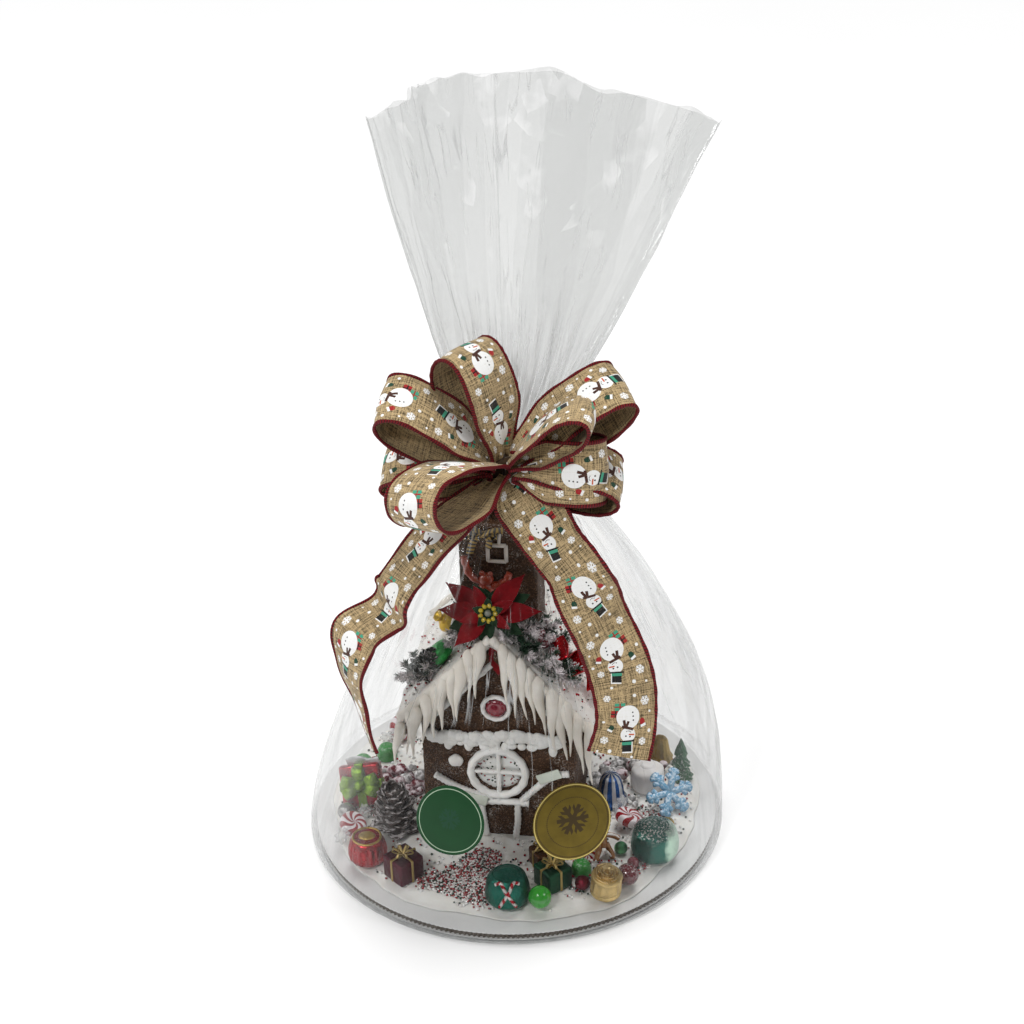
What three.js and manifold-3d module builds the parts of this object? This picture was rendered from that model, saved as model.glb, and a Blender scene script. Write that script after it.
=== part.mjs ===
// Gingerbread house on a round cake board, with candies in royal icing round it,
// all inside a clear bag that is gathered at a neck and tied with a ribbon bow.
// Millimetres, +Z up. The bag's flat bottom is at z = 0, centred on the origin, and -Y is the front.
import * as THREE from "three";
import { mergeVertices } from "three/addons/utils/BufferGeometryUtils.js";
import Module from "manifold-3d";

const wasm = await Module();
wasm.setup();

// ---------------------------------------------------------------- driving dimensions
const GAP = 0.35; // clearance between neighbouring pieces

const BOARD_RADIUS = 152.5; // 12 inch cake circle
const BOARD_THICKNESS = 6;
const FILM = 1; // wall of the bag
const BOARD_BASE = FILM + GAP;
const ICING_RADIUS = 139;
const ICING_DEPTH = 6;
const ICING_BASE = BOARD_BASE + BOARD_THICKNESS + GAP;
const FLOOR = ICING_BASE + ICING_DEPTH + GAP; // level on which house and candies stand

const BAG_BASE_RADIUS = 157;
const NECK_HEIGHT = 322;
const NECK_RADIUS = 13;
const RIM_HEIGHT = 577;
const FAN_LEAN = 30; // how far back the rim sits from the neck
const RIM_TILT = 9; // rise of the rim's front, and fall of its back
const RIM_DIP = 28; // fall of the rim's two corners
const BAG_SIDES = 28;
const FOLDS = 7; // pleats round the neck and the fan

const HOUSE_FRONT = { x: -12, y: -49 }; // middle of the front wall's foot
const HOUSE_TURN = 9; // degrees, front turned to the left
const WALL_HALF_WIDTH = 56;
const WALL_THICKNESS = 7;
const EAVE_HEIGHT = 104;
const HOUSE_DEPTH = 105;
const ROOF_PITCH = 47; // degrees
const ROOF_REACH = 70; // from the ridge, level
const ROOF_OVERHANG = 12; // past the front and back walls
const SNOW_DEPTH = 9;

const CHIMNEY_HALF_WIDTH = 28;
const CHIMNEY_HALF_DEPTH = 20;
const CHIMNEY_TOP = 250; // above the floor level
const CHIMNEY_SET_BACK = 48;

const ICICLES_A_SIDE = 8;
const ICICLE_LENGTH = 50;
const ICICLE_RADIUS = 4.6;

const RIBBON_WIDTH = 43;
const RIBBON_THICKNESS = 1.1;
const KNOT = { x: -1, y: -48, z: 327 };
const BOW_PITCH = 30; // degrees the bow looks up

// ---------------------------------------------------------------- closed bodies
const rad = THREE.MathUtils.degToRad;
const vec = (x, y, z) => new THREE.Vector3(x, y, z);
const mix = THREE.MathUtils.lerp;

/** A repeatable stream of numbers from 0 to 1. */
function randomStream(seed) {
  let state = seed;
  return () => {
    state = (state * 1664525 + 1013904223) % 4294967296;
    return state / 4294967296;
  };
}

function signedVolume(body) {
  let sum = 0;
  for (const [a, b, c] of body.faces) {
    const [p, q, r] = [body.points[a], body.points[b], body.points[c]];
    sum += p.dot(q.clone().cross(r));
  }
  return sum / 6;
}

function facingOut(body) {
  if (signedVolume(body) < 0) {
    body.faces = body.faces.map(([a, b, c]) => [a, c, b]);
  }
  return body;
}

/** Skin over rings of equal count, closed by a fan to an end point at each end. */
function loft(rings, start, end) {
  const count = rings[0].length;
  const points = [start, ...rings.flat(), end];
  const last = points.length - 1;
  const faces = [];
  for (let k = 0; k < count; k++) {
    const next = (k + 1) % count;
    faces.push([0, 1 + next, 1 + k]);
    faces.push([last, last - count + k, last - count + next]);
    for (let j = 0; j + 1 < rings.length; j++) {
      const a = 1 + j * count + k;
      const b = 1 + j * count + next;
      faces.push([a, b, b + count]);
      faces.push([a, b + count, a + count]);
    }
  }
  return facingOut({ points, faces });
}

const middle = (ring) =>
  ring.reduce((sum, p) => sum.add(p), vec(0, 0, 0)).divideScalar(ring.length);

/** Loft closed by flat ends. */
const solidLoft = (rings) => loft(rings, middle(rings[0]), middle(rings.at(-1)));

/** Solid of revolution about Z. The profile holds [radius, height], from the foot up, ends off the axis. */
function spin(profile, sides) {
  const rings = profile.map(([radius, height]) =>
    Array.from({ length: sides }, (_, k) => {
      const angle = (2 * Math.PI * k) / sides;
      return vec(radius * Math.cos(angle), radius * Math.sin(angle), height);
    }),
  );
  return solidLoft(rings);
}

const aboutX = (degrees) => new THREE.Matrix4().makeRotationX(rad(degrees));
const aboutZ = (degrees) => new THREE.Matrix4().makeRotationZ(rad(degrees));
const shifted = (x, y, z) => new THREE.Matrix4().makeTranslation(x, y, z);

/** Upright prism over a flat outline of [x, y] points. */
function prism(outline, foot, top) {
  const flat = outline.map(([x, y]) => new THREE.Vector2(x, y));
  if (THREE.ShapeUtils.isClockWise(flat)) {
    flat.reverse();
  }
  const count = flat.length;
  const points = [foot, top].flatMap((z) => flat.map((p) => vec(p.x, p.y, z)));
  const faces = [];
  for (const [a, b, c] of THREE.ShapeUtils.triangulateShape(flat, [])) {
    faces.push([a, c, b]);
    faces.push([a + count, b + count, c + count]);
  }
  for (let k = 0; k < count; k++) {
    const next = (k + 1) % count;
    faces.push([k, next, next + count]);
    faces.push([k, next + count, k + count]);
  }
  return facingOut({ points, faces });
}

/** Block from one corner to the other. */
const block = (low, high) =>
  prism([[low[0], low[1]], [high[0], low[1]], [high[0], high[1]], [low[0], high[1]]], low[2], high[2]);

/** Round rod along a line of points, with a radius for each point. */
function rod(line, radiusAt, sides = 5) {
  const rings = line.map((p, j) => {
    const ahead = line[Math.min(j + 1, line.length - 1)];
    const behind = line[Math.max(j - 1, 0)];
    const along = ahead.clone().sub(behind).normalize();
    const pick = Math.abs(along.y) < 0.9 ? vec(0, 1, 0) : vec(1, 0, 0);
    const across = pick.clone().cross(along).normalize();
    const over = along.clone().cross(across);
    const radius = radiusAt(j / (line.length - 1));
    return Array.from({ length: sides }, (_, k) => {
      const angle = (2 * Math.PI * (k + 0.5)) / sides;
      return p
        .clone()
        .addScaledVector(across, radius * Math.cos(angle))
        .addScaledVector(over, radius * Math.sin(angle));
    });
  });
  return solidLoft(rings);
}

/** Closed three.js geometry as a body, its shared corners joined. */
function fromGeometry(geometry) {
  geometry.deleteAttribute("normal");
  geometry.deleteAttribute("uv");
  const welded = mergeVertices(geometry, 1e-3);
  const at = welded.getAttribute("position");
  const points = [];
  for (let k = 0; k < at.count; k++) {
    points.push(vec(at.getX(k), at.getY(k), at.getZ(k)));
  }
  const index = Array.from(welded.index.array);
  const faces = [];
  for (let k = 0; k < index.length; k += 3) {
    faces.push(index.slice(k, k + 3));
  }
  return facingOut({ points, faces });
}

/** Ball of the given radius about a centre. */
const ball = (center, radius, detail = 1) =>
  moved(fromGeometry(new THREE.IcosahedronGeometry(radius, detail)), shifted(center.x, center.y, center.z));

const moved = (body, matrix) =>
  facingOut({ points: body.points.map((p) => p.clone().applyMatrix4(matrix)), faces: body.faces });

function toManifold(body) {
  return new wasm.Manifold(
    new wasm.Mesh({
      numProp: 3,
      vertProperties: new Float32Array(body.points.flatMap((p) => [p.x, p.y, p.z])),
      triVerts: new Uint32Array(body.faces.flat()),
    }),
  );
}

function fromManifold(solid) {
  const mesh = solid.getMesh();
  const points = [];
  for (let k = 0; k < mesh.vertProperties.length; k += mesh.numProp) {
    points.push(vec(...mesh.vertProperties.slice(k, k + 3)));
  }
  const faces = [];
  for (let k = 0; k < mesh.triVerts.length; k += 3) {
    faces.push(Array.from(mesh.triVerts.slice(k, k + 3)));
  }
  return { points, faces };
}

const fuse = (...bodies) => fromManifold(bodies.map(toManifold).reduce((sum, m) => sum.add(m)));

const cut = (body, ...tools) =>
  fromManifold(tools.map(toManifold).reduce((left, tool) => left.subtract(tool), toManifold(body)));

/** Splits a body into its shells, the surfaces that share no point. */
function shells(body) {
  const parent = body.points.map((_, k) => k);
  const root = (k) => {
    while (parent[k] !== k) {
      parent[k] = parent[parent[k]];
      k = parent[k];
    }
    return k;
  };
  for (const [a, b, c] of body.faces) {
    parent[root(a)] = root(b);
    parent[root(b)] = root(c);
  }
  const found = new Map();
  for (const face of body.faces) {
    const key = root(face[0]);
    found.set(key, [...(found.get(key) ?? []), face]);
  }
  return [...found.values()].map((faces) => ({ points: body.points, faces }));
}

/** The largest shell alone: pockets shut in between folds are filled, and loose crumbs dropped. */
function wholePiece(body) {
  const sorted = shells(body).sort((p, q) => signedVolume(q) - signedVolume(p));
  return fromManifold(toManifold(sorted[0]));
}

// ---------------------------------------------------------------- the group of named pieces
const group = new THREE.Group();
group.name = "gingerbread_house";

function piece(name, body, colour, { roughness = 0.6, metalness = 0, opacity = 1 } = {}) {
  const geometry = new THREE.BufferGeometry();
  const flat = new Float32Array(body.points.flatMap((p) => [p.x, p.y, p.z]));
  geometry.setAttribute("position", new THREE.BufferAttribute(flat, 3));
  geometry.setIndex(body.faces.flat());
  const material = new THREE.MeshStandardMaterial({ color: colour, roughness, metalness });
  material.name = name;
  material.transparent = opacity < 1;
  material.opacity = opacity;
  const mesh = new THREE.Mesh(geometry, material);
  mesh.name = name;
  group.add(mesh);
}

// ---------------------------------------------------------------- board and icing
const circle = (radius, sides) =>
  Array.from({ length: sides }, (_, k) => {
    const angle = (2 * Math.PI * k) / sides;
    return [radius * Math.cos(angle), radius * Math.sin(angle)];
  });

piece("cake_board", prism(circle(BOARD_RADIUS, 50), BOARD_BASE, BOARD_BASE + BOARD_THICKNESS), 0xe9e9ea);

/** The icing's edge is uneven, spread by hand. */
const icingRadius = (angle) =>
  ICING_RADIUS + 2.2 * Math.sin(5 * angle + 1) + 1.3 * Math.sin(11 * angle) + 1.4 * Math.sin(3 * angle - 1);

function icingBody() {
  const steps = [
    [1, 0],
    [1.005, 0.25],
    [0.985, 0.6],
    [0.93, 0.88],
    [0.8, 1],
  ];
  const sides = 36;
  const rings = steps.map(([share, rise]) =>
    Array.from({ length: sides }, (_, k) => {
      const angle = (2 * Math.PI * k) / sides;
      const radius = share * icingRadius(angle);
      return vec(radius * Math.cos(angle), radius * Math.sin(angle), ICING_BASE + rise * ICING_DEPTH);
    }),
  );
  return solidLoft(rings);
}

/** Nonpareils strewn as a path from the door to the front edge, half sunk in the icing. */
function pathBeads() {
  const next = randomStream(7);
  const beads = [];
  const count = 18;
  for (let k = 0; k < count; k++) {
    const along = next();
    const spread = mix(16, 42, along) * (next() + next() - 1);
    const x = mix(-18, -44, along) + spread;
    const y = mix(-72, -112, along);
    beads.push(ball(vec(x, y, FLOOR - GAP), 1.3, 0));
  }
  return beads;
}

// ---------------------------------------------------------------- house
const houseFrame = shifted(HOUSE_FRONT.x, HOUSE_FRONT.y, FLOOR).multiply(aboutZ(-HOUSE_TURN));
const inHouse = (body) => moved(body, houseFrame);
const slope = Math.tan(rad(ROOF_PITCH));
const APEX_HEIGHT = EAVE_HEIGHT + WALL_HALF_WIDTH * slope;
const upright = 1 / Math.cos(rad(ROOF_PITCH)); // height of a sheet of thickness 1 on the slope
const roofUnder = (u) => APEX_HEIGHT + GAP * upright - Math.abs(u) * slope;
const roofTop = (u) => roofUnder(u) + WALL_THICKNESS * upright;
const snowUnder = (u) => roofTop(u) + GAP * upright;
const snowTop = (u) => snowUnder(u) + SNOW_DEPTH * upright;

/** Plate with an outline of [across, up], standing in the house's XZ plane. */
const stand = (outline, front, back) => moved(prism(outline, -back, -front), aboutX(90));

const WINDOW = { u: 0, v: 60, radius: 17 };
const ATTIC = { u: 0, v: 117, radius: 8 };

const gableOutline = [
  [-WALL_HALF_WIDTH, 0],
  [WALL_HALF_WIDTH, 0],
  [WALL_HALF_WIDTH, EAVE_HEIGHT],
  [0, APEX_HEIGHT],
  [-WALL_HALF_WIDTH, EAVE_HEIGHT],
];
const windowOutline = (radius) => circle(radius, 16).map(([x, y]) => [x + WINDOW.u, y + WINDOW.v]);

function buildHouse() {
  const brown = 0x3a2116;
  const front = stand(gableOutline, 0, WALL_THICKNESS);
  const hole = stand(windowOutline(WINDOW.radius), -1, WALL_THICKNESS + 1);
  piece("front_wall", inHouse(cut(front, hole)), brown);
  piece("window_sugar", inHouse(stand(windowOutline(WINDOW.radius - GAP), 1, 4)), 0xe8e6e0);
  piece("back_wall", inHouse(stand(gableOutline, HOUSE_DEPTH - WALL_THICKNESS, HOUSE_DEPTH)), brown);
  for (const [name, side] of [["left", -1], ["right", 1]]) {
    const outer = side * WALL_HALF_WIDTH;
    const inner = side * (WALL_HALF_WIDTH - WALL_THICKNESS);
    const low = [Math.min(outer, inner), WALL_THICKNESS + GAP, 0];
    const high = [Math.max(outer, inner), HOUSE_DEPTH - WALL_THICKNESS - GAP, EAVE_HEIGHT - GAP];
    piece(`side_wall_${name}`, inHouse(block(low, high)), brown);
    const ridge = side * GAP;
    const eave = side * ROOF_REACH;
    const panel = [
      [ridge, roofUnder(ridge)],
      [eave, roofUnder(eave)],
      [eave, roofTop(eave)],
      [ridge, roofTop(ridge)],
    ];
    piece(`roof_panel_${name}`, inHouse(stand(panel, -ROOF_OVERHANG, HOUSE_DEPTH + ROOF_OVERHANG)), brown);
  }
}

const chimneyOutline = (spare) => [
  [-CHIMNEY_HALF_WIDTH - spare, CHIMNEY_SET_BACK - CHIMNEY_HALF_DEPTH - spare],
  [CHIMNEY_HALF_WIDTH + spare, CHIMNEY_SET_BACK - CHIMNEY_HALF_DEPTH - spare],
  [CHIMNEY_HALF_WIDTH + spare, CHIMNEY_SET_BACK + CHIMNEY_HALF_DEPTH + spare],
  [-CHIMNEY_HALF_WIDTH - spare, CHIMNEY_SET_BACK + CHIMNEY_HALF_DEPTH + spare],
];

function buildChimney() {
  const foot = roofTop(CHIMNEY_HALF_WIDTH);
  const stack = prism(chimneyOutline(0), foot, CHIMNEY_TOP);
  const flue = prism(chimneyOutline(-7), CHIMNEY_TOP - 12, CHIMNEY_TOP + 1);
  const wide = 2 * ROOF_REACH;
  const roofWedge = [
    [-wide, snowUnder(wide)],
    [wide, snowUnder(wide)],
    [0, snowUnder(0)],
  ];
  const body = cut(stack, flue, stand(roofWedge, -wide, 2 * wide));
  piece("chimney", inHouse(body), 0x35190f);
}

/** Thick snow over both slopes, uneven at its edges and on top. */
function buildRoofSnow() {
  const stations = 7;
  const across = [-1.02, -0.72, -0.4, 0, 0.4, 0.72, 1.02];
  const rings = Array.from({ length: stations }, (_, j) => {
    const share = j / (stations - 1);
    const w = mix(-ROOF_OVERHANG, HOUSE_DEPTH + ROOF_OVERHANG, share);
    const top = across.map((s, k) => {
      const u = s * ROOF_REACH;
      const bump = 0.9 * Math.sin(2.1 * k + 1.7 * j);
      return vec(u, w, snowTop(u) + bump);
    });
    const under = across.map((s) => vec(s * ROOF_REACH, w, snowUnder(s * ROOF_REACH))).reverse();
    return [...top, ...under];
  });
  const chimneyHole = prism(chimneyOutline(GAP), 0, CHIMNEY_TOP);
  piece("roof_snow", inHouse(cut(solidSheet(rings), chimneyHole)), 0xe9e8e6);
}

/** Loft whose end caps are strips between its upper and lower halves. */
function solidSheet(rings) {
  const count = rings[0].length;
  const points = rings.flat();
  const faces = [];
  for (let j = 0; j + 1 < rings.length; j++) {
    for (let k = 0; k < count; k++) {
      const a = j * count + k;
      const b = j * count + ((k + 1) % count);
      faces.push([a, b, b + count]);
      faces.push([a, b + count, a + count]);
    }
  }
  const base = points.length - count;
  for (let k = 0; k + 1 < count / 2; k++) {
    const m = count - 1 - k;
    faces.push([k, m, m - 1]);
    faces.push([k, m - 1, k + 1]);
    faces.push([base + k, base + m - 1, base + m]);
    faces.push([base + k, base + k + 1, base + m - 1]);
  }
  return facingOut({ points, faces });
}

/** Piped icicles hang from the roof's edge, thick at the top. */
function icicleRow(w, aSide, length) {
  const next = randomStream(11);
  const bodies = [];
  for (const side of [-1, 1]) {
    const foot = vec(side * (ROOF_REACH - 2), w, snowTop(ROOF_REACH - 2) - 3);
    const head = vec(0, w, snowTop(0) - 3);
    bodies.push(rod([foot, head], () => 3.6, 4));
    for (let k = 0; k < aSide; k++) {
      const u = side * mix(5, ROOF_REACH - 3, k / (aSide - 1));
      const top = snowTop(u) + ICICLE_RADIUS;
      const long = length * mix(0.82, 1.12, next());
      const line = [0, 0.3, 1].map((s) => vec(u, w, top - s * long));
      const width = (s) => ICICLE_RADIUS * (s < 0.2 ? 0.8 : s < 0.9 ? 1 : 0.22);
      bodies.push(rod(line, width, 5));
    }
  }
  return fuse(...bodies);
}

const onWall = (u, v, radius) => vec(u, -radius - GAP, v);

function buildPiping() {
  const white = 0xe6e4e1;
  const front = -ROOF_OVERHANG - ICICLE_RADIUS - GAP;
  const back = HOUSE_DEPTH + ROOF_OVERHANG + ICICLE_RADIUS + GAP;
  piece("icicles_front", inHouse(icicleRow(front, ICICLES_A_SIDE, ICICLE_LENGTH)), white);
  piece("icicles_back", inHouse(icicleRow(back, 3, 0.6 * ICICLE_LENGTH)), white);

  // window ring with its cross, snow ledge, swag, arch and door frame, run into each other
  const ringLine = (center, radius, count) =>
    Array.from({ length: count + 1 }, (_, k) => {
      const angle = (2 * Math.PI * k) / count;
      return onWall(center.u + radius * Math.cos(angle), center.v + radius * Math.sin(angle), 2.6);
    });
  const run = (points, radius) => rod(points.map(([u, v]) => onWall(u, v, radius)), () => radius);
  const big = WINDOW.radius + 3;
  const ledge = Array.from({ length: 9 }, (_, k) => [mix(-48, 48, k / 8), 88 + 1.5 * Math.sin(2 * k)]);
  const swag = Array.from({ length: 5 }, (_, k) => [mix(-47, -4, k / 4), 55 - 17 * Math.sin(k / 2.55)]);
  const arch = Array.from({ length: 5 }, (_, k) => [mix(17, 52, k / 4), 36 + 27 * Math.sin(k / 2.55)]);
  const rake = [-1, 1].map((side) => {
    const line = [[side * 47, 90], [side * 49, roofUnder(50) - 6], [0, roofUnder(0) - 6]];
    return rod(line.map(([u, v]) => onWall(u, v, 3)), () => 3, 5);
  });
  const pieces = [
    ...rake,
    rod(ringLine(WINDOW, big, 12), () => 2.6),
    run([[-big, WINDOW.v], [big, WINDOW.v]], 1.7),
    run([[0, WINDOW.v - big], [0, WINDOW.v + big]], 1.7),
    rod(ledge.map(([u, v]) => onWall(u, v, 4)), () => 4, 5),
    run([[0, WINDOW.v + big - 2], [0, 88]], 2.4),
    run(swag, 2.4),
    run(arch, 2.4),
    run([[-20, 33], [22, 34]], 2.6),
    run([[-13, 33], [-10, 3]], 2.4),
    run([[14, 34], [12, 3]], 2.4),
    run([[0, WINDOW.v - big + 2], [0, 33]], 2.4),
  ];
  piece("front_piping", inHouse(fuse(...pieces)), white);
  const hoop = fromGeometry(new THREE.TorusGeometry(ATTIC.radius + 2.8, 2.2, 5, 12));
  piece("attic_ring", inHouse(moved(moved(hoop, aboutX(90)), shifted(ATTIC.u, -2.2 - GAP, ATTIC.v))), white);
  const dome = spin([[ATTIC.radius - 0.6, 0], [ATTIC.radius - 1.2, 2.5], [4, 4.6]], 12);
  const facing = (u, v) => shifted(u, -GAP, v).multiply(aboutX(90));
  piece("attic_gumdrop", inHouse(moved(dome, facing(ATTIC.u, ATTIC.v))), 0x6b1220, { roughness: 0.35 });
  piece("icing_dab", inHouse(moved(spin([[5.5, 0], [4.4, 2.4]], 10), facing(-31, 68))), white);
}

// ---------------------------------------------------------------- decorations on the roof
/** Frame on a slope of the roof: X along the ridge, Z out of the snow. */
function onRoof(side, down, w) {
  const u = side * down;
  const turn = new THREE.Matrix4().makeRotationY(side * rad(ROOF_PITCH));
  const at = shifted(u, w, snowTop(u) + 2.2 * upright);
  return houseFrame.clone().multiply(at).multiply(turn);
}

/** Pointed leaf from the origin along X, thin in Z, drooping to its tip. */
function leaf(length, width, thickness, from, droop) {
  const shares = [0, 0.35, 0.7, 0.97];
  const widths = [0.35, 1, 0.8, 0.12];
  const rings = shares.map((s, k) => {
    const x = from + s * (length - from);
    const z = -droop * s * s;
    const half = (width / 2) * widths[k];
    return [vec(x, -half, z), vec(x, 0, z + thickness), vec(x, half, z), vec(x, 0, z - thickness)];
  });
  return solidLoft(rings);
}

function rosette(headings, length, width, level) {
  const blades = headings.map((heading) => {
    const turned = moved(leaf(length, width, 0.8, 1, 3), aboutZ(heading));
    return moved(turned, shifted(0, 0, level));
  });
  return fuse(spin([[5, level - 0.9], [5, level + 0.9]], 8), ...blades);
}

function buildPoinsettia() {
  const spot = shifted(-1, -8, snowTop(0) + 13).multiply(aboutX(58));
  const look = houseFrame.clone().multiply(spot);
  piece("poinsettia_leaves", moved(rosette([25, 105, 200], 30, 11, 0), look), 0x1f3d22);
  piece("poinsettia_bracts", moved(rosette([5, 51, 148, 179, 226], 36, 15, 3.2), look), 0x7c0f16, { roughness: 0.85 });
  const beads = [ball(vec(0, 0, 7.4), 2.8, 0)];
  for (let k = 0; k < 5; k++) {
    const angle = (2 * Math.PI * k) / 5;
    beads.push(ball(vec(4 * Math.cos(angle), 4 * Math.sin(angle), 7), 2.6, 0));
  }
  piece("poinsettia_beads", moved(fuse(...beads), look), 0xb49a1d);
}

/** Cone shape for pine cones: stacked scales that stand out at their rims. */
function pineCone(radius, height) {
  const tiers = 4;
  const profile = [[radius * 0.35, 0]];
  for (let k = 0; k < tiers; k++) {
    const s = (k + 0.5) / tiers;
    const wide = radius * Math.sqrt(1 - s * s * 0.85);
    profile.push([wide * 0.78, s * height - height * 0.06]);
    profile.push([wide, s * height + height * 0.04]);
  }
  profile.push([radius * 0.15, height]);
  return spin(profile, 9);
}

/** Scales a profile of shares to a radius and a height, then spins it. */
const turnedShape = (shares, radius, height, sides) =>
  spin(shares.map(([across, up]) => [across * radius, up * height]), sides);

const gumdrop = (radius) =>
  turnedShape([[0.9, 0], [1, 0.23], [0.82, 0.71], [0.42, 1]], radius, 1.55 * radius, 10);

const foilDome = (radius, height) =>
  turnedShape([[0.82, 0], [1, 0.2], [0.95, 0.55], [0.68, 0.88]], radius, height, 12);

/** Wrapped mint: a thick disc with a twist of film at each side. */
function wrappedMint(radius, thickness) {
  const disc = turnedShape([[0.8, 0], [1, 0.3], [1, 0.7], [0.8, 1]], radius, thickness, 12);
  const twists = [-1, 1].map((side) => {
    const line = [0.85, 1.15, 1.6].map((s) => vec(side * radius * s, 0, thickness / 2));
    return rod(line, (s) => (s < 0.4 ? 2.4 : s < 0.8 ? 1.8 : 4.2), 4);
  });
  return fuse(disc, ...twists);
}

/** Cube-shaped present with a crossed band and a bow on top. */
function gift(size, height) {
  const half = size / 2;
  const band = 0.7;
  const box = block([-half, -half, 0], [half, half, height]);
  const bands = [
    block([-1, -half - band, 1], [1, half + band, height + band]),
    block([-half - band, -1, 1], [half + band, 1, height + band]),
  ];
  const loops = [];
  for (let k = 0; k < 4; k++) {
    const angle = rad(45 + 90 * k);
    const tip = vec(6.5 * Math.cos(angle), 6.5 * Math.sin(angle), height + 4);
    loops.push(rod([vec(0, 0, height + 0.5), tip], (s) => mix(0.9, 1.5, s), 4));
  }
  return fuse(box, ...bands, ...loops);
}

function buildRoofCandies() {
  const lay = (frame, body) => moved(moved(body, shifted(0, 0, GAP)), frame);
  const stickLine = [vec(0, -10, 4), vec(0, 12, 4)];
  piece("roof_stick", lay(onRoof(-1, 29, 42), rod(stickLine, () => 4, 8)), 0x1f6b35);
  piece("roof_foil_green", lay(onRoof(-1, 38, 10), spin([[5, 0], [7, 2.5], [5.5, 5.5]], 10)), 0x17802b);
  piece("roof_cone", lay(onRoof(-1, 56, 0), pineCone(9, 20)), 0x5a5a50);
  const berries = fuse(ball(vec(0, 0, 5), 5), ball(vec(2, 8, 4.6), 4.6));
  piece("roof_berries", lay(onRoof(1, 25, 16), berries), 0x5a2028);
  piece("roof_pine_sprig", lay(onRoof(1, 33, 0), foilDome(10, 11)), 0x33403a);
  const bends = Array.from({ length: 6 }, (_, k) => vec(k * 8 - 20, k % 2 ? 5 : -5, 5));
  piece("roof_ribbon_candy", lay(onRoof(1, 58, 20), rod(bends, () => 3.4, 6)), 0x9a1218);
}

function buildChimneyTrim() {
  const face = CHIMNEY_SET_BACK - CHIMNEY_HALF_DEPTH - GAP;
  /** Straight rods between points of the chimney's front plane, each point [across, up]. */
  const strand = (points, depth, radiusAt, sides) =>
    rod(points.map(([u, v]) => vec(u, face - depth, v)), radiusAt, sides);

  const bowAt = [-10, CHIMNEY_TOP - 3];
  const bowPart = (du, dv, radiusAt, sides) =>
    strand([bowAt, [bowAt[0] + du, bowAt[1] + dv]], 4, radiusAt, sides);
  const wingWidth = (s) => mix(1.8, 3.6, s);
  const wings = [bowPart(-15, -3, wingWidth, 6), bowPart(15, 3, wingWidth, 6)];
  const tail = bowPart(-10, -16, () => 1.8, 5);
  piece("chimney_bow", inHouse(fuse(...wings, tail)), 0x9c7a1c);

  const hip = [-11, CHIMNEY_TOP - 50];
  const depth = 6.4;
  const limb = (...steps) =>
    strand(steps.map(([du, dv]) => [hip[0] + du, hip[1] + dv]), depth, () => 2.6, 4);
  const figure = [
    ball(vec(hip[0], face - depth, hip[1]), 6.4, 0),
    ball(vec(hip[0], face - depth, hip[1] + 9), 5.4, 0),
    limb([0, 6], [-12, 14], [-15, 26]),
    limb([0, 2], [13, 5]),
    limb([0, 0], [-9, -10]),
    limb([0, 0], [6, -13]),
  ];
  piece("chimney_figure", inHouse(fuse(...figure)), 0xa03016);

  const level = CHIMNEY_TOP - 20;
  const square = (half) => [
    [-half, level - half],
    [half, level - half],
    [half, level + half],
    [-half, level + half],
  ];
  const frame = cut(stand(square(8), face - 3, face), stand(square(5), face - 4, face + 1));
  piece("chimney_frame", inHouse(frame), 0xded9d2);
}

// ---------------------------------------------------------------- candies on the icing
/** Puts a body on the icing, leaning back by the tilt and turned about the upright. */
function place(name, x, y, body, colour, { turn = 0, tilt = 0, ...look } = {}) {
  const lean = moved(body, aboutX(tilt));
  const lowest = Math.min(...lean.points.map((p) => p.z));
  piece(name, moved(lean, shifted(x, y, FLOOR - lowest).multiply(aboutZ(turn))), colour, look);
}

/** Six-armed snowflake lying flat, with two barbs on each arm. */
function snowflake(radius, thickness) {
  const arms = [];
  for (let k = 0; k < 6; k++) {
    const bar = block([3, -1.8, 0], [radius, 1.8, thickness]);
    const barb = block([0, -1.4, 0], [radius * 0.34, 1.4, thickness]);
    const barbs = [-50, 50].map((fork) => moved(barb, shifted(radius * 0.58, 0, 0).multiply(aboutZ(fork))));
    arms.push(moved(fuse(bar, ...barbs), aboutZ(60 * k)));
  }
  return fuse(spin([[6, 0], [6, thickness]], 6), ...arms);
}

/** Flat gingerbread figure with round head, arms and legs. */
function cookieFigure(thickness) {
  const disc = (x, y, radius) => prism(circle(radius, 10).map(([a, b]) => [a + x, b + y]), 0, thickness);
  const limb = (from, to, half) => {
    const along = new THREE.Vector2(to[0] - from[0], to[1] - from[1]).normalize();
    const [nx, ny] = [-along.y * half, along.x * half];
    const corner = ([x, y], side) => [x + side * nx, y + side * ny];
    return prism([corner(from, 1), corner(from, -1), corner(to, -1), corner(to, 1)], 0, thickness);
  };
  return fuse(
    disc(0, 29, 6.5),
    limb([0, 24], [0, 11], 5.5),
    limb([0, 20], [-11, 16], 3),
    limb([0, 20], [11, 16], 3),
    disc(-11, 16, 3.4),
    disc(11, 16, 3.4),
    limb([-2.5, 13], [-6, 2], 3.4),
    limb([2.5, 13], [6, 2], 3.4),
  );
}

/** Six-petalled roll on a short cylinder: a foil-wrapped chocolate moulded as a rose. */
function rose(radius, height) {
  const drum = turnedShape([[0.88, 0], [1, 0.2], [1, 0.72], [0.86, 0.8]], radius, height, 14);
  const crown = turnedShape([[0.8, 0.7], [0.78, 0.95], [0.3, 1]], radius, height, 6);
  return fuse(drum, crown);
}

/** Fir tree of three stacked skirts. */
function coneTree(radius, height) {
  const skirts = [[1, 0], [0.55, 0.36], [0.72, 0.4], [0.3, 0.72], [0.42, 0.75], [0.06, 1]];
  return turnedShape(skirts, radius, height, 9);
}

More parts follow.
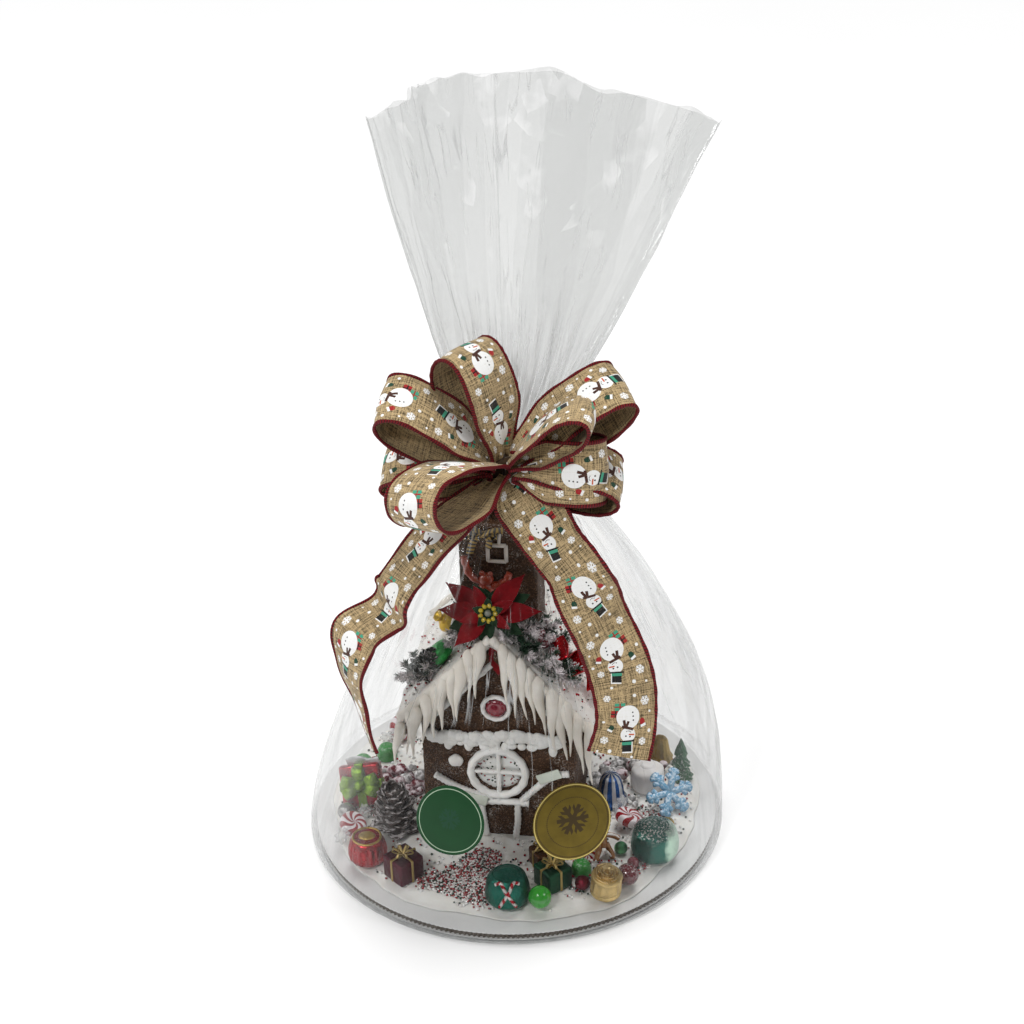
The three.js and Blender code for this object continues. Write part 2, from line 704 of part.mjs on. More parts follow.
function buildCandies() {
  const foil = { roughness: 0.35, metalness: 0.5 };
  const gloss = { roughness: 0.2 };
  place("gift_flat", -115, 0, gift(34, 12), 0xa3161c, { turn: -12, tilt: 62 });
  place("mint_left", -124, -38, wrappedMint(10.5, 9), 0xc9b6c6, { turn: 62, tilt: 30 });
  place("pine_cone", -91, -41, pineCone(19, 44), 0x514a44, { tilt: 6 });
  place("choc_red", -110, -70, foilDome(14, 22), 0x9d1c1a, foil);
  place("gift_maroon", -83, -92, gift(22, 20), 0x3d0d14, { turn: 40, ...foil });
  place("bell_teal", -8, -122, foilDome(16, 25), 0x1f5b46, foil);
  place("gift_brown", 19, -84, gift(17, 15), 0x4a3218, { turn: 25, ...foil });
  place("gift_green", 25, -107, gift(21, 18), 0x12391f, { turn: 35, ...foil });
  place("gumball_green", 15, -131, ball(vec(0, 0, 0), 8.5), 0x1e8a1c, gloss);
  place("ball_maroon", 46, -113, ball(vec(0, 0, 0), 5.5), 0x5c1520, foil);
  place("gumdrop_front", 46, -95, gumdrop(7.5), 0x1f8f25);
  place("rose_gold", 63, -120, rose(11.5, 22), 0xb89a4a, foil);
  place("gumball_red", 79, -108, ball(vec(0, 0, 0), 8), 0x5e0d15, gloss);
  place("cookie_figure", 64, -82, cookieFigure(4), 0xa9744a, { turn: 12, tilt: 64 });
  place("gumdrop_ruby", 84, -89, gumdrop(4.5), 0x6e0c1c, gloss);
  place("dome_teal", 101, -74, foilDome(17.5, 27), 0x17614c, foil);
  place("snowflake", 115, -20, snowflake(22, 3.2), 0x86b6d6, { turn: 24, tilt: 52 });
  place("mint_right", 82, -42, wrappedMint(10.5, 9), 0xcbb9bd, { turn: 110, tilt: 24 });
  place("snowball", 101, 6, foilDome(13, 22), 0xe2ddda);
  place("bell_blue", 72, -12, foilDome(13, 27), 0x1d4c8f, foil);
  place("bell_gold", 113, 41, foilDome(10, 22), 0x8b7432, foil);
  place("tree_right", 127, 18, coneTree(9.5, 36), 0x21472c);
  place("gumdrop_left_1", -118, 40, gumdrop(8), 0x1f8f25);
  place("gumdrop_left_2", -100, 54, gumdrop(8), 0x1f8f25);
  place("mint_back_left", -92, 82, wrappedMint(10.5, 9), 0xc7aeb6, { turn: 50, tilt: 60 });
  place("gumdrop_back", -38, 110, gumdrop(8.5), 0xa01c24);
}

// ---------------------------------------------------------------- the bag
/** Reach of the bag below its neck, as a share of the way from the neck's radius to the base's. */
const swell = (height, power, ease) => (1 - Math.min(1, height / NECK_HEIGHT) ** power) ** ease;

function bagReach(height) {
  const over = Math.max(0, (height - NECK_HEIGHT) / (RIM_HEIGHT - NECK_HEIGHT));
  if (over > 0) {
    const open = over ** 0.66;
    return {
      left: mix(NECK_RADIUS, 83, open),
      right: mix(NECK_RADIUS, 147, open),
      front: mix(NECK_RADIUS, 31, over),
      back: mix(NECK_RADIUS, 28, open),
    };
  }
  const wide = BAG_BASE_RADIUS - NECK_RADIUS;
  return {
    left: NECK_RADIUS + wide * swell(height, 1.45, 1.15),
    right: NECK_RADIUS + wide * swell(height, 2.27, 1),
    front: NECK_RADIUS + wide * swell(height, 1.9, 1),
    back: NECK_RADIUS + wide * swell(height, 1.6, 1),
  };
}

const pleatDepth = (height) => {
  if (height > NECK_HEIGHT) {
    return mix(0.8, 4, Math.min(1, (height - NECK_HEIGHT) / 120));
  }
  const gathering = THREE.MathUtils.smoothstep(height, 120, 260);
  const pinched = 1 - THREE.MathUtils.smoothstep(height, NECK_HEIGHT - 40, NECK_HEIGHT + 20);
  return 1.6 * gathering * pinched;
};

/** Slack folded out at the board's edge, front right. */
const cornerFlap = (angle, height) => {
  const off = (angle - rad(-46)) / rad(13);
  return 9 * Math.exp(-off * off) * Math.exp(-height / 14);
};

/** Point on the bag's outside, moved outward by the offset. */
function onBag(angle, height, offset, pleated = true) {
  const reach = bagReach(height);
  const pleat = pleated ? pleatDepth(height) * Math.cos(FOLDS * angle) : 0;
  const spread = offset + pleat + cornerFlap(angle, height);
  const x = Math.cos(angle) * ((Math.cos(angle) > 0 ? reach.right : reach.left) + spread);
  const y = Math.sin(angle) * ((Math.sin(angle) > 0 ? reach.back : reach.front) + spread);
  const over = Math.max(0, height - NECK_HEIGHT) / (RIM_HEIGHT - NECK_HEIGHT);
  const dip = over >= 1 ? -RIM_DIP * Math.cos(angle) ** 2 - RIM_TILT * Math.sin(angle) : 0;
  return vec(x, y + FAN_LEAN * over, height + dip);
}

const BAG_LEVELS = [8, 40, 80, 125, 170, 210, 250, 290, NECK_HEIGHT, 345, 380, 430, 490, RIM_HEIGHT];
const bagRing = (height, offset) =>
  Array.from({ length: BAG_SIDES }, (_, k) => onBag((2 * Math.PI * k) / BAG_SIDES, height, offset));

/** Foot ring of the bag, drawn in under the board's edge. */
const footRing = (level, inset) => bagRing(3, -inset).map((p) => vec(p.x, p.y, level));

function buildBag() {
  const outer = [footRing(0, 5), bagRing(3, -1), ...BAG_LEVELS.map((z) => bagRing(z, 0))];
  const upper = BAG_LEVELS.map((z) => bagRing(z, -1.15 * FILM)).reverse();
  const inner = [...upper, bagRing(3, -1 - FILM), footRing(FILM, 2.6)];
  const skin = loft([...outer, ...inner], vec(0, 0, 0), vec(0, 0, FILM));
  piece("clear_bag", skin, 0xf2f4f6, { roughness: 0.1, opacity: 0.2 });
}

/** The bag's outside as a filled body, swollen by the spare. */
const bagFilled = (spare) => solidLoft(BAG_LEVELS.slice(1).map((z) => bagRing(z, spare)));

/** Round label that follows the bag's front, its middle at an angle about the axis and a height. */
function sticker(name, angleDeg, height, diameter, colour, look) {
  const center = rad(angleDeg);
  const anchor = onBag(center, height, 0, false);
  const rise = onBag(center, height + 5, 0, false).sub(onBag(center, height - 5, 0, false)).normalize();
  const around = Math.hypot(anchor.x, anchor.y);
  const sheetPoint = (a, b, lift) => onBag(center + a / around, height + b * rise.z, lift, false);
  const ringAt = (share, lift) =>
    circle((share * diameter) / 2, 18).map(([a, b]) => sheetPoint(a, b, lift));
  const [front, back] = [1.1, 0.5];
  const rings = [ringAt(0.55, front), ringAt(1, front), ringAt(1, back), ringAt(0.55, back)];
  piece(name, loft(rings, sheetPoint(0, 0, front), sheetPoint(0, 0, back)), colour, look);
}

// ---------------------------------------------------------------- the bow
const bowFrame = shifted(KNOT.x, KNOT.y, KNOT.z).multiply(aboutX(90 - BOW_PITCH));

/** Ribbon along stations, each with its middle, the unit vector across and a share of the full width. */
function ribbon(stations) {
  const rings = stations.map(({ at, across, share }, j) => {
    const ahead = stations[Math.min(j + 1, stations.length - 1)].at;
    const behind = stations[Math.max(j - 1, 0)].at;
    const along = ahead.clone().sub(behind).normalize();
    const face = along.clone().cross(across).normalize();
    const half = across.clone().multiplyScalar((RIBBON_WIDTH * share) / 2);
    const skin = face.multiplyScalar(RIBBON_THICKNESS / 2);
    return [
      at.clone().add(half).add(skin),
      at.clone().add(half).sub(skin),
      at.clone().sub(half).sub(skin),
      at.clone().sub(half).add(skin),
    ];
  });
  return solidLoft(rings);
}

/** One loop of the bow, from the knot out to its crest and back, in the bow's own frame. */
function bowLoop({ heading, lift, reach, puff, roll }) {
  const [h, l, r] = [rad(heading), rad(lift), rad(roll)];
  const out = vec(Math.cos(h) * Math.cos(l), Math.sin(h) * Math.cos(l), Math.sin(l));
  const flat = vec(-Math.sin(h), Math.cos(h), 0);
  const over = out.clone().cross(flat);
  const across = flat.clone().multiplyScalar(Math.cos(r)).addScaledVector(over, Math.sin(r));
  const normal = out.clone().cross(across);
  const steps = 8;
  const stations = [];
  for (let k = 0; k <= steps; k++) {
    const turn = (2 * Math.PI * k) / steps;
    const away = (1 - Math.cos(turn)) / 2;
    const at = out
      .clone()
      .multiplyScalar(6 + reach * away ** 0.8)
      .addScaledVector(normal, puff * Math.sin(turn) * (0.35 + 0.65 * away) * (1 - 0.25 * away));
    stations.push({ at, across, share: mix(0.2, 1, Math.min(1, away / 0.5)) });
  }
  return moved(ribbon(stations), bowFrame);
}

const LOOPS = [
  { heading: 108, lift: 14, reach: 80, puff: 26, roll: 40 },
  { heading: 150, lift: 17, reach: 90, puff: 22, roll: 42 },
  { heading: 205, lift: 44, reach: 88, puff: 30, roll: 63 },
  { heading: 178, lift: -10, reach: 76, puff: 16, roll: 40 },
  { heading: 32, lift: 8, reach: 92, puff: 22, roll: -38 },
  { heading: 30, lift: 26, reach: 70, puff: 18, roll: -70 },
  { heading: -4, lift: 12, reach: 64, puff: 24, roll: 16 },
  { heading: -10, lift: -2, reach: 74, puff: 19, roll: -42 },
];

/** One hanging tail through its way points, each with the direction across the ribbon there. */
function bowTail(wayPoints) {
  const curve = new THREE.CatmullRomCurve3(wayPoints.map((w) => w.at), false, "centripetal");
  const stations = wayPoints.map(({ across }, k) => ({
    at: curve.getPoint(k / (wayPoints.length - 1)),
    across: across.clone().normalize(),
    share: k === 0 ? 0.45 : 1,
  }));
  return ribbon(stations);
}

const LEFT_TAIL = [
  { at: vec(-8, -50, 322), across: vec(0.9, -0.4, 0.1) },
  { at: vec(-40, -62, 294), across: vec(0.7, -0.7, 0.2) },
  { at: vec(-68, -76, 266), across: vec(0.6, -0.8, 0.15) },
  { at: vec(-79, -84, 252), across: vec(0.5, -0.86, 0.05) },
  { at: vec(-84, -82, 236), across: vec(0.5, -0.86, 0) },
  { at: vec(-106, -92, 224), across: vec(0.7, -0.71, 0) },
  { at: vec(-111, -98, 200), across: vec(0.45, -0.87, 0.2) },
  { at: vec(-105, -104, 172), across: vec(0.25, -0.91, 0.3) },
  { at: vec(-98, -110, 146), across: vec(0.16, -0.91, 0.39) },
];
const RIGHT_TAIL = [
  { at: vec(3, -52, 320), across: vec(1, 0, 0) },
  { at: vec(14, -64, 308), across: vec(1, -0.05, 0) },
  { at: vec(33, -80, 281), across: vec(0.87, -0.35, 0.36) },
  { at: vec(47, -91, 264), across: vec(0.8, -0.2, 0.3) },
  { at: vec(60, -95, 232), across: vec(0.9, 0.35, -0.1) },
  { at: vec(74, -104, 196), across: vec(1, 0.05, 0) },
  { at: vec(78, -114, 165), across: vec(0.95, 0.3, 0) },
  { at: vec(72, -124, 139), across: vec(0.95, 0.2, 0.25) },
];

function buildBow() {
  const coreLine = [-13, -8, -3, 3, 8, 13].map((a) => vec(a, 0, 0));
  const coreWidth = (s) => mix(5.8, 9, Math.abs(Math.sin(2 * Math.PI * s)));
  const core = moved(rod(coreLine, coreWidth, 8), bowFrame);
  const bands = [...LOOPS.map(bowLoop), bowTail(LEFT_TAIL), bowTail(RIGHT_TAIL)];
  const wire = (inner, outer, half) => {
    const outside = rod([vec(-half, 0, 0), vec(half, 0, 0)], () => outer, 12);
    const inside = rod([vec(-half - 1, 0, 0), vec(half + 1, 0, 0)], () => inner, 12);
    return cut(outside, inside);
  };
  const tie = moved(wire(7, 9, 1.5), bowFrame);
  const room = moved(wire(6.6, 9.5, 1.9), bowFrame);
  const bow = wholePiece(cut(fuse(core, ...bands), room, bagFilled(0.6)));
  piece("bow_tie", tie, 0x1c1512);
  piece("ribbon_bow", bow, 0x9c8457, { roughness: 0.9 });
}

// ---------------------------------------------------------------- everything together
piece("icing_base", fuse(icingBody(), ...pathBeads()), 0xe8e7e4);
buildHouse();
buildChimney();
buildRoofSnow();
buildPiping();
buildPoinsettia();
buildRoofCandies();
buildChimneyTrim();
buildCandies();
buildBag();
sticker("label_green", -111, 95, 51, 0x1f6a35, { roughness: 0.45 });
sticker("label_gold", -74.7, 94, 57, 0xa08a2c, { roughness: 0.35, metalness: 0.4 });
buildBow();

export default group;
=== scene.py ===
import math
import random

import bmesh
import bpy
from mathutils import Matrix, Vector, noise


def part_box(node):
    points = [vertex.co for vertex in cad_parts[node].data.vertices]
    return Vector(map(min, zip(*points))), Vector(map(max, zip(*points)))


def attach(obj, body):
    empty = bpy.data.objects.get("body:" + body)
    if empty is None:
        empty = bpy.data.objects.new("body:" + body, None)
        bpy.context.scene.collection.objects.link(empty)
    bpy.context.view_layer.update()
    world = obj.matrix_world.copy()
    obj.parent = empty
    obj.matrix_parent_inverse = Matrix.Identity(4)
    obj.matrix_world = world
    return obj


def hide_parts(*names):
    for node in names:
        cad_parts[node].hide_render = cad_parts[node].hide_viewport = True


# Wrapped gingerbread house. Lengths are millimetres until a mesh is made, which turns them into metres.
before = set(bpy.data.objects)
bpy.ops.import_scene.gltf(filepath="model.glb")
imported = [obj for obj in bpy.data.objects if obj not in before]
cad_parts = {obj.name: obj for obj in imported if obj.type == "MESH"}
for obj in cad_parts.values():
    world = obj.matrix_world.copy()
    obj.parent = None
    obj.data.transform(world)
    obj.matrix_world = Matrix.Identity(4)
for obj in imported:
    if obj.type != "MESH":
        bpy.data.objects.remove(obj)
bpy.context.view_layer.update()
MM = 0.001

# ---------------------------------------------------------------- driving dimensions, as in the CAD
GAP = 0.35
BOARD_RADIUS = 152.5
BOARD_BASE = 1.35
BOARD_THICKNESS = 6
ICING_RADIUS = 139
ICING_BASE = 7.7
ICING_DEPTH = 6
FLOOR = 14.05

BAG_BASE_RADIUS = 157
NECK_HEIGHT = 322
NECK_RADIUS = 13
RIM_HEIGHT = 577
FAN_LEAN = 30
RIM_TILT = 9

HOUSE_FRONT = (-12, -49)
HOUSE_TURN = 9
WALL_HALF_WIDTH = 56
WALL_THICKNESS = 7
EAVE_HEIGHT = 104
HOUSE_DEPTH = 105
ROOF_PITCH = 47
ROOF_REACH = 70
ROOF_OVERHANG = 12
SNOW_DEPTH = 9
CHIMNEY_HALF_DEPTH = 20
CHIMNEY_TOP = 250
CHIMNEY_SET_BACK = 48
WINDOW = (0, 60, 17)  # across, up, radius
ATTIC = (0, 117, 8)

RIBBON_WIDTH = 43
RIBBON_THICKNESS = 0.6
KNOT = (-1, -48, 327)
LABEL_PLACES = {  # angle about the axis, height, radius
    "label_green": (math.radians(-111), 95, 25.5),
    "label_gold": (math.radians(-74.7), 94, 28.5),
}
BOW_PITCH = 30

TAU = 2 * math.pi
rad = math.radians
sin = math.sin
cos = math.cos


# ---------------------------------------------------------------- numbers
def mix(a, b, t):
    return a + (b - a) * t


def ramp(value, low, high):
    """0 below low, 1 above high, smooth between."""
    t = min(1.0, max(0.0, (value - low) / (high - low)))
    return t * t * (3 - 2 * t)


def rough(p, size, seed=0.0):
    """Smooth noise from -1 to 1 with features of the given size."""
    return noise.noise(Vector(p) / size + vec(seed, 1.7 * seed, -seed))


def spline(points, steps):
    """Smooth line through points, with steps pieces between each two."""
    pts = [Vector(p) for p in points]
    line = []
    for k in range(len(pts) - 1):
        before, after = pts[max(k - 1, 0)], pts[min(k + 2, len(pts) - 1)]
        for j in range(steps):
            t = j / steps
            a, b = pts[k], pts[k + 1]
            linear, square = b - before, 2 * before - 5 * a + 4 * b - after
            cube = 3 * a - before - 3 * b + after
            line.append(0.5 * (2 * a + linear * t + square * t * t + cube * t**3))
    return line + [pts[-1]]


def about(axis, degrees):
    return Matrix.Rotation(rad(degrees), 4, axis)


def shifted(x, y, z):
    return Matrix.Translation((x, y, z))


def vec(*parts):
    return Vector(parts)


def around(radius, height, sides):
    """Points of a level circle about the vertical axis."""
    turns = (TAU * k / sides for k in range(sides))
    return [vec(radius * cos(a), radius * sin(a), height) for a in turns]


def spot_in(pick, center, spread):
    """Random place in a disc, as likely near its rim as in its middle."""
    angle, reach = TAU * pick.random(), spread * math.sqrt(pick.random())
    return center[0] + reach * cos(angle), center[1] + reach * sin(angle)


# ---------------------------------------------------------------- closed bodies
class Body:
    """Points and faces gathered from several closed shapes.

    A point may have a cloth coordinate, and a face the number of its material, called its skin.
    """

    def __init__(self, shape=None):
        self.points, self.faces, self.cloth, self.skins = [], [], [], []
        if shape:
            self.add(shape)

    def add(self, shape, matrix=None, skin=0):
        points, faces = shape[0], shape[1]
        cloth = shape[2] if len(shape) > 2 else [(0, 0)] * len(points)
        base = len(self.points)
        self.points += [matrix @ p if matrix else p for p in points]
        self.faces += [tuple(base + k for k in face) for face in faces]
        self.cloth += cloth
        self.skins += [skin] * len(faces)
        return self

    def move(self, change):
        """Passes every point through a function."""
        self.points = [change(p) for p in self.points]
        return self

    def turned(self, matrix):
        return self.move(lambda p: matrix @ p)

    def take(self, other, matrix=None, skin=0):
        """Adds another body in its own skins, counted on from the one given."""
        self.add((other.points, other.faces, other.cloth), matrix)
        self.skins[len(self.skins) - len(other.skins) :] = [skin + own for own in other.skins]
        return self


def loft(rings, ends=True):
    """Skin over rings of equal count. Ends are closed by a fan to their middles."""
    count = len(rings[0])
    points = [p for ring in rings for p in ring]
    faces = []
    for j in range(len(rings) - 1):
        for k in range(count):
            a, b = j * count + k, j * count + (k + 1) % count
            faces.append((a, b, b + count, a + count))
    if ends:
        for base, flip in ((0, True), (len(points) - count, False)):
            points.append(sum(points[base : base + count], Vector()) / count)
            tip = len(points) - 1
            for k in range(count):
                a, b = base + k, base + (k + 1) % count
                faces.append((b, a, tip) if flip else (a, b, tip))
    return points, faces


def hoop(rings):
    """Skin over rings that follow each other in a closed loop."""
    count, total = len(rings[0]), len(rings)
    points = [p for ring in rings for p in ring]
    faces = []
    for j in range(total):
        for k in range(count):
            a, b = j * count + k, j * count + (k + 1) % count
            step = count if j + 1 < total else count - total * count
            faces.append((a, b, b + step, a + step))
    return points, faces


def cross_sections(line, radius_at, sides, closed):
    rings, side = [], None
    last = len(line) - 1
    for k, p in enumerate(line):
        ahead = line[(k + 1) % len(line)] if closed else line[min(k + 1, last)]
        behind = line[k - 1] if closed else line[max(k - 1, 0)]
        along = (ahead - behind).normalized()
        if side is None:
            pick = vec(0, 1, 0) if abs(along.y) < 0.9 else vec(1, 0, 0)
            side = pick.cross(along)
        side = (side - along * side.dot(along)).normalized()
        over = along.cross(side)
        ring = []
        for j in range(sides):
            angle = TAU * j / sides
            r = radius_at(k / last, angle)
            ring.append(p + side * (r * cos(angle)) + over * (r * sin(angle)))
        rings.append(ring)
    return rings


def tube(line, radius, sides=10, closed=False):
    """Round body along a line of points; the radius is a number or a function of share and angle."""
    radius_at = radius if callable(radius) else (lambda s, a: radius)
    return (hoop if closed else loft)(cross_sections(line, radius_at, sides, closed))


def lathe(profile, sides, dent=None, smooth=4):
    """Solid of revolution about Z from a profile of radius and height, its corners rounded."""
    line = spline([(r, 0, z) for r, z in profile], smooth) if smooth else [vec(r, 0, z) for r, z in profile]
    rings = []
    for p in line:
        ring = []
        for k in range(sides):
            angle = TAU * k / sides
            r = max(0.01, p.x) * (dent(angle, p.z) if dent else 1)
            ring.append(vec(r * cos(angle), r * sin(angle), p.z))
        rings.append(ring)
    return loft(rings)


BALLS = {}


def ball(center, radius, detail=2):
    """Ball, or an egg where the radius is three numbers."""
    if detail not in BALLS:
        bm = bmesh.new()
        bmesh.ops.create_icosphere(bm, subdivisions=detail, radius=1)
        BALLS[detail] = shape_of(bm)
    points, faces = BALLS[detail]
    size = Vector(radius) if hasattr(radius, "__len__") else Vector((radius,) * 3)
    return [Vector(center) + p * size for p in points], faces


def slab(outline, foot, top, bevel, segments=2):
    """Upright plate over a flat outline, with rounded edges."""
    bm = bmesh.new()
    corners = [bm.verts.new((x, y, foot)) for x, y in outline]
    face = bm.faces.new(corners)
    grown = bmesh.ops.extrude_face_region(bm, geom=[face])["geom"]
    for v in grown:
        if isinstance(v, bmesh.types.BMVert):
            v.co.z = top
    edges = [e for e in bm.edges if len(e.link_faces) == 2]
    bmesh.ops.bevel(bm, geom=edges, offset=bevel, segments=segments, profile=0.6, affect="EDGES")
    bmesh.ops.recalc_face_normals(bm, faces=bm.faces)
    return shape_of(bm)


def shape_of(bm):
    """Points and faces of a bmesh, which is freed."""
    bm.verts.index_update()
    shape = ([v.co.copy() for v in bm.verts], [tuple(v.index for v in f.verts) for f in bm.faces])
    bm.free()
    return shape


def box(low, high, bevel, segments=2):
    corners = [(low[0], low[1]), (high[0], low[1]), (high[0], high[1]), (low[0], high[1])]
    return slab(corners, low[2], high[2], bevel, segments)


# ---------------------------------------------------------------- pieces
def show(name, body, material, nodes=(), sharp=None):
    """Makes the body a piece of the scene, standing for the named nodes."""
    if not isinstance(body, Body):
        body = Body(body)
    mesh = bpy.data.meshes.new(name)
    mesh.from_pydata([p * MM for p in body.points], [], body.faces)
    layer = mesh.uv_layers.new(name="cloth")
    for loop in mesh.loops:
        layer.data[loop.index].uv = body.cloth[loop.vertex_index]
    materials = material if isinstance(material, (list, tuple)) else [material]
    for m in materials:
        mesh.materials.append(m)
    mesh.polygons.foreach_set("material_index", body.skins)
    return dress(placed(name, mesh), nodes, sharp)


def set_down(name, node, body, material, turn=0, tilt=0):
    """A piece that replaces a CAD node, leaned and turned and set on the same place."""
    return stand_in(name, settle(node, body, turn, tilt), material, node)


def stand_in(name, body, material, node, sharp=None):
    """A piece that replaces a CAD node and has its finish."""
    return show(name, body, material, [node], sharp)


def dress(obj, nodes=(), sharp=None):
    obj.data.polygons.foreach_set("use_smooth", [True] * len(obj.data.polygons))
    if sharp:
        obj.data.set_sharp_from_angle(angle=rad(sharp))
    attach(obj, "root")
    if nodes:
        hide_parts(*nodes)
    return obj


def remeshed(obj, voxel):
    """Joins what an object holds into one skin of even cells, in millimetres, and smooths it."""
    materials = list(obj.data.materials)
    remesh = obj.modifiers.new("join", "REMESH")
    remesh.mode = "VOXEL"
    remesh.voxel_size = voxel * MM
    soften = obj.modifiers.new("soften", "SMOOTH")
    soften.factor = 0.6
    soften.iterations = 3
    bpy.context.view_layer.update()
    graph = bpy.context.evaluated_depsgraph_get()
    mesh = bpy.data.meshes.new_from_object(obj.evaluated_get(graph))
    obj.modifiers.clear()
    obj.data = mesh
    obj.data.materials.clear()
    for m in materials:
        obj.data.materials.append(m)
    return obj


def displaced(obj, amount_at):
    """Moves each point of a mesh along its normal by a number of millimetres."""
    normals = [v.normal.copy() for v in obj.data.vertices]
    for v, n in zip(obj.data.vertices, normals):
        p = v.co / MM
        v.co = (p + n * amount_at(p, n)) * MM
    obj.data.update()
    return obj


def copied(node, name, material):
    """A new piece with the shape of a CAD node."""
    obj = placed(name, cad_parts[node].data.copy())
    obj.data.materials.clear()
    obj.data.materials.append(material)
    return obj


def settle(node, body, turn=0, tilt=0):
    """Leans and turns a body, then stands it where the CAD node stands."""
    body = body if isinstance(body, Body) else Body(body)
    body.turned(about("Z", turn) @ about("X", tilt))
    low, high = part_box(node)
    low, high = low / MM, high / MM
    own_low = [min(p[i] for p in body.points) for i in range(3)]
    own_high = [max(p[i] for p in body.points) for i in range(3)]
    middle = [(low[i] + high[i] - own_low[i] - own_high[i]) / 2 for i in (0, 1)]
    shift = vec(*middle, low.z - own_low[2])
    return body.move(lambda p: p + shift)


# ---------------------------------------------------------------- materials
class Wire:
    """A value in a node tree. Arithmetic on it adds Math nodes."""

    def __init__(self, look, socket):
        self.look, self.socket = look, socket

    def __add__(self, other):
        return self.look.math("ADD", self, other)

    def __sub__(self, other):
        return self.look.math("SUBTRACT", self, other)

    def __rsub__(self, other):
        return self.look.math("SUBTRACT", other, self)

    def __mul__(self, other):
        return self.look.math("MULTIPLY", self, other)

    def __truediv__(self, other):
        return self.look.math("DIVIDE", self, other)

    def __lt__(self, other):
        return self.look.math("LESS_THAN", self, other)

    def __abs__(self):
        return self.look.math("ABSOLUTE", self)


class Look:
    """One node material round a single Principled shader, textured in object space."""

    def __init__(self, name, **plain):
        self.material = bpy.data.materials.new(name)
        self.material.use_nodes = True
        self.tree = self.material.node_tree
        self.tree.nodes.clear()
        self.coords = self.out("TexCoord", output="Object")
        self.shader = self.node("BsdfPrincipled")
        self.output = self.node("OutputMaterial")
        self.tree.links.new(self.shader.outputs[0], self.output.inputs["Surface"])
        for key, value in plain.items():
            self.put(self.shader.inputs[key.replace("_", " ")], value)

    def node(self, kind, inputs=None, **settings):
        made = self.tree.nodes.new("ShaderNode" + kind)
        for key, value in settings.items():
            setattr(made, key, value)
        for key, value in (inputs or {}).items():
            self.put(made.inputs[key], value)
        return made

    def out(self, kind, inputs=None, output=0, **settings):
        return Wire(self, self.node(kind, inputs, **settings).outputs[output])

    def put(self, socket, value):
        if isinstance(value, Wire):
            self.tree.links.new(value.socket, socket)
        elif socket.type == "RGBA" and len(value) == 3:
            socket.default_value = (*value, 1)
        else:
            socket.default_value = value

    def finished(self, colour, roughness, normal):
        """The material with its three textured sockets set; roughness is a feature size, a low and a high."""
        inputs = {"Base Color": colour, "Roughness": self.varied(*roughness), "Normal": normal}
        for name, value in inputs.items():
            self.put(self.shader.inputs[name], value)
        return self.material

    def math(self, kind, a, b=0.0, c=0.0, clamp=False):
        return self.out("Math", {0: a, 1: b, 2: c}, operation=kind, use_clamp=clamp)

    def varied(self, size, low, high):
        """Noise that runs between two values."""
        return self.math("MULTIPLY_ADD", self.noise(size), high - low, low)

    def vector(self, kind, a, b=(0, 0, 0)):
        output = "Value" if kind in ("LENGTH", "DISTANCE", "DOT_PRODUCT") else "Vector"
        return self.out("VectorMath", {0: a, 1: b}, output, operation=kind)

    def part(self, vector, axis):
        return self.out("SeparateXYZ", {0: vector}, axis)

    def heading(self, vector):
        return self.math("ARCTAN2", self.part(vector, "Y"), self.part(vector, "X"))

    def cloth(self):
        """The cloth coordinate that the mesh carries."""
        return self.out("UVMap", uv_map="cloth")

    def spots(self, size, low, high, detail=2.0, coords=None, stretch=None):
        """Noise with features of size millimetres, taken from 0 at low to 1 at high."""
        return self.step(self.noise(size, detail, coords, stretch), low, high)

    def noise(self, size, detail=2.0, coords=None, stretch=None):
        where = coords or self.coords
        if stretch:
            where = self.vector("MULTIPLY", where, stretch)
        return self.out("TexNoise", {"Vector": where, "Scale": 1 / (size * MM), "Detail": detail}, "Fac")

    def cells(self, size, feature="F1", output="Distance", coords=None):
        inputs = {"Vector": coords or self.coords, "Scale": 1 / (size * MM)}
        return self.out("TexVoronoi", inputs, output, feature=feature)

    def step(self, value, low, high):
        inputs = {"Value": value, "From Min": low, "From Max": high}
        return self.out("MapRange", inputs, "Result", interpolation_type="SMOOTHSTEP")

    def blend(self, share, a, b):
        return self.out("MixRGB", {"Fac": share, "Color1": a, "Color2": b}, "Color")

    def bump(self, height, depth, strength=1.0, below=None):
        """Bump of a height in millimetres."""
        inputs = {"Height": height, "Distance": depth * MM, "Strength": strength}
        if below is not None:
            inputs["Normal"] = below
        return self.out("Bump", inputs, "Normal")

    def facing(self, axis, low, high):
        """1 where the surface faces along an axis of space."""
        return self.step(self.part(self.out("NewGeometry", output="Normal"), axis), low, high)

    def dusted(self, tint, share, grain, low, high, start, powder):
        """Grains of powder on what faces up."""
        grains = self.spots(grain, low, high) * self.facing("Z", start, 0.8)
        return self.blend(grains * share, tint, powder)


def shade(colour, factor):
    return tuple(min(1, factor * c) for c in colour)


def gingerbread():
    look = Look("gingerbread", Specular_IOR_Level=0.3)
    crust = look.blend(look.noise(7, 5), (0.020, 0.009, 0.0045), (0.064, 0.030, 0.013))
    crumb = look.blend(look.spots(1.2, 0.5, 0.66), crust, (0.125, 0.066, 0.036))
    flour = look.spots(12, 0.46, 0.70, 5) * look.spots(1.1, 0.52, 0.62) * 0.5
    pits = look.bump(look.cells(1.5), 0.35, 0.7)
    tint = look.blend(flour, crumb, (0.62, 0.58, 0.55))
    return look.finished(tint, (3, 0.68, 0.88), look.bump(look.noise(4, 6), 0.8, 0.8, pits))


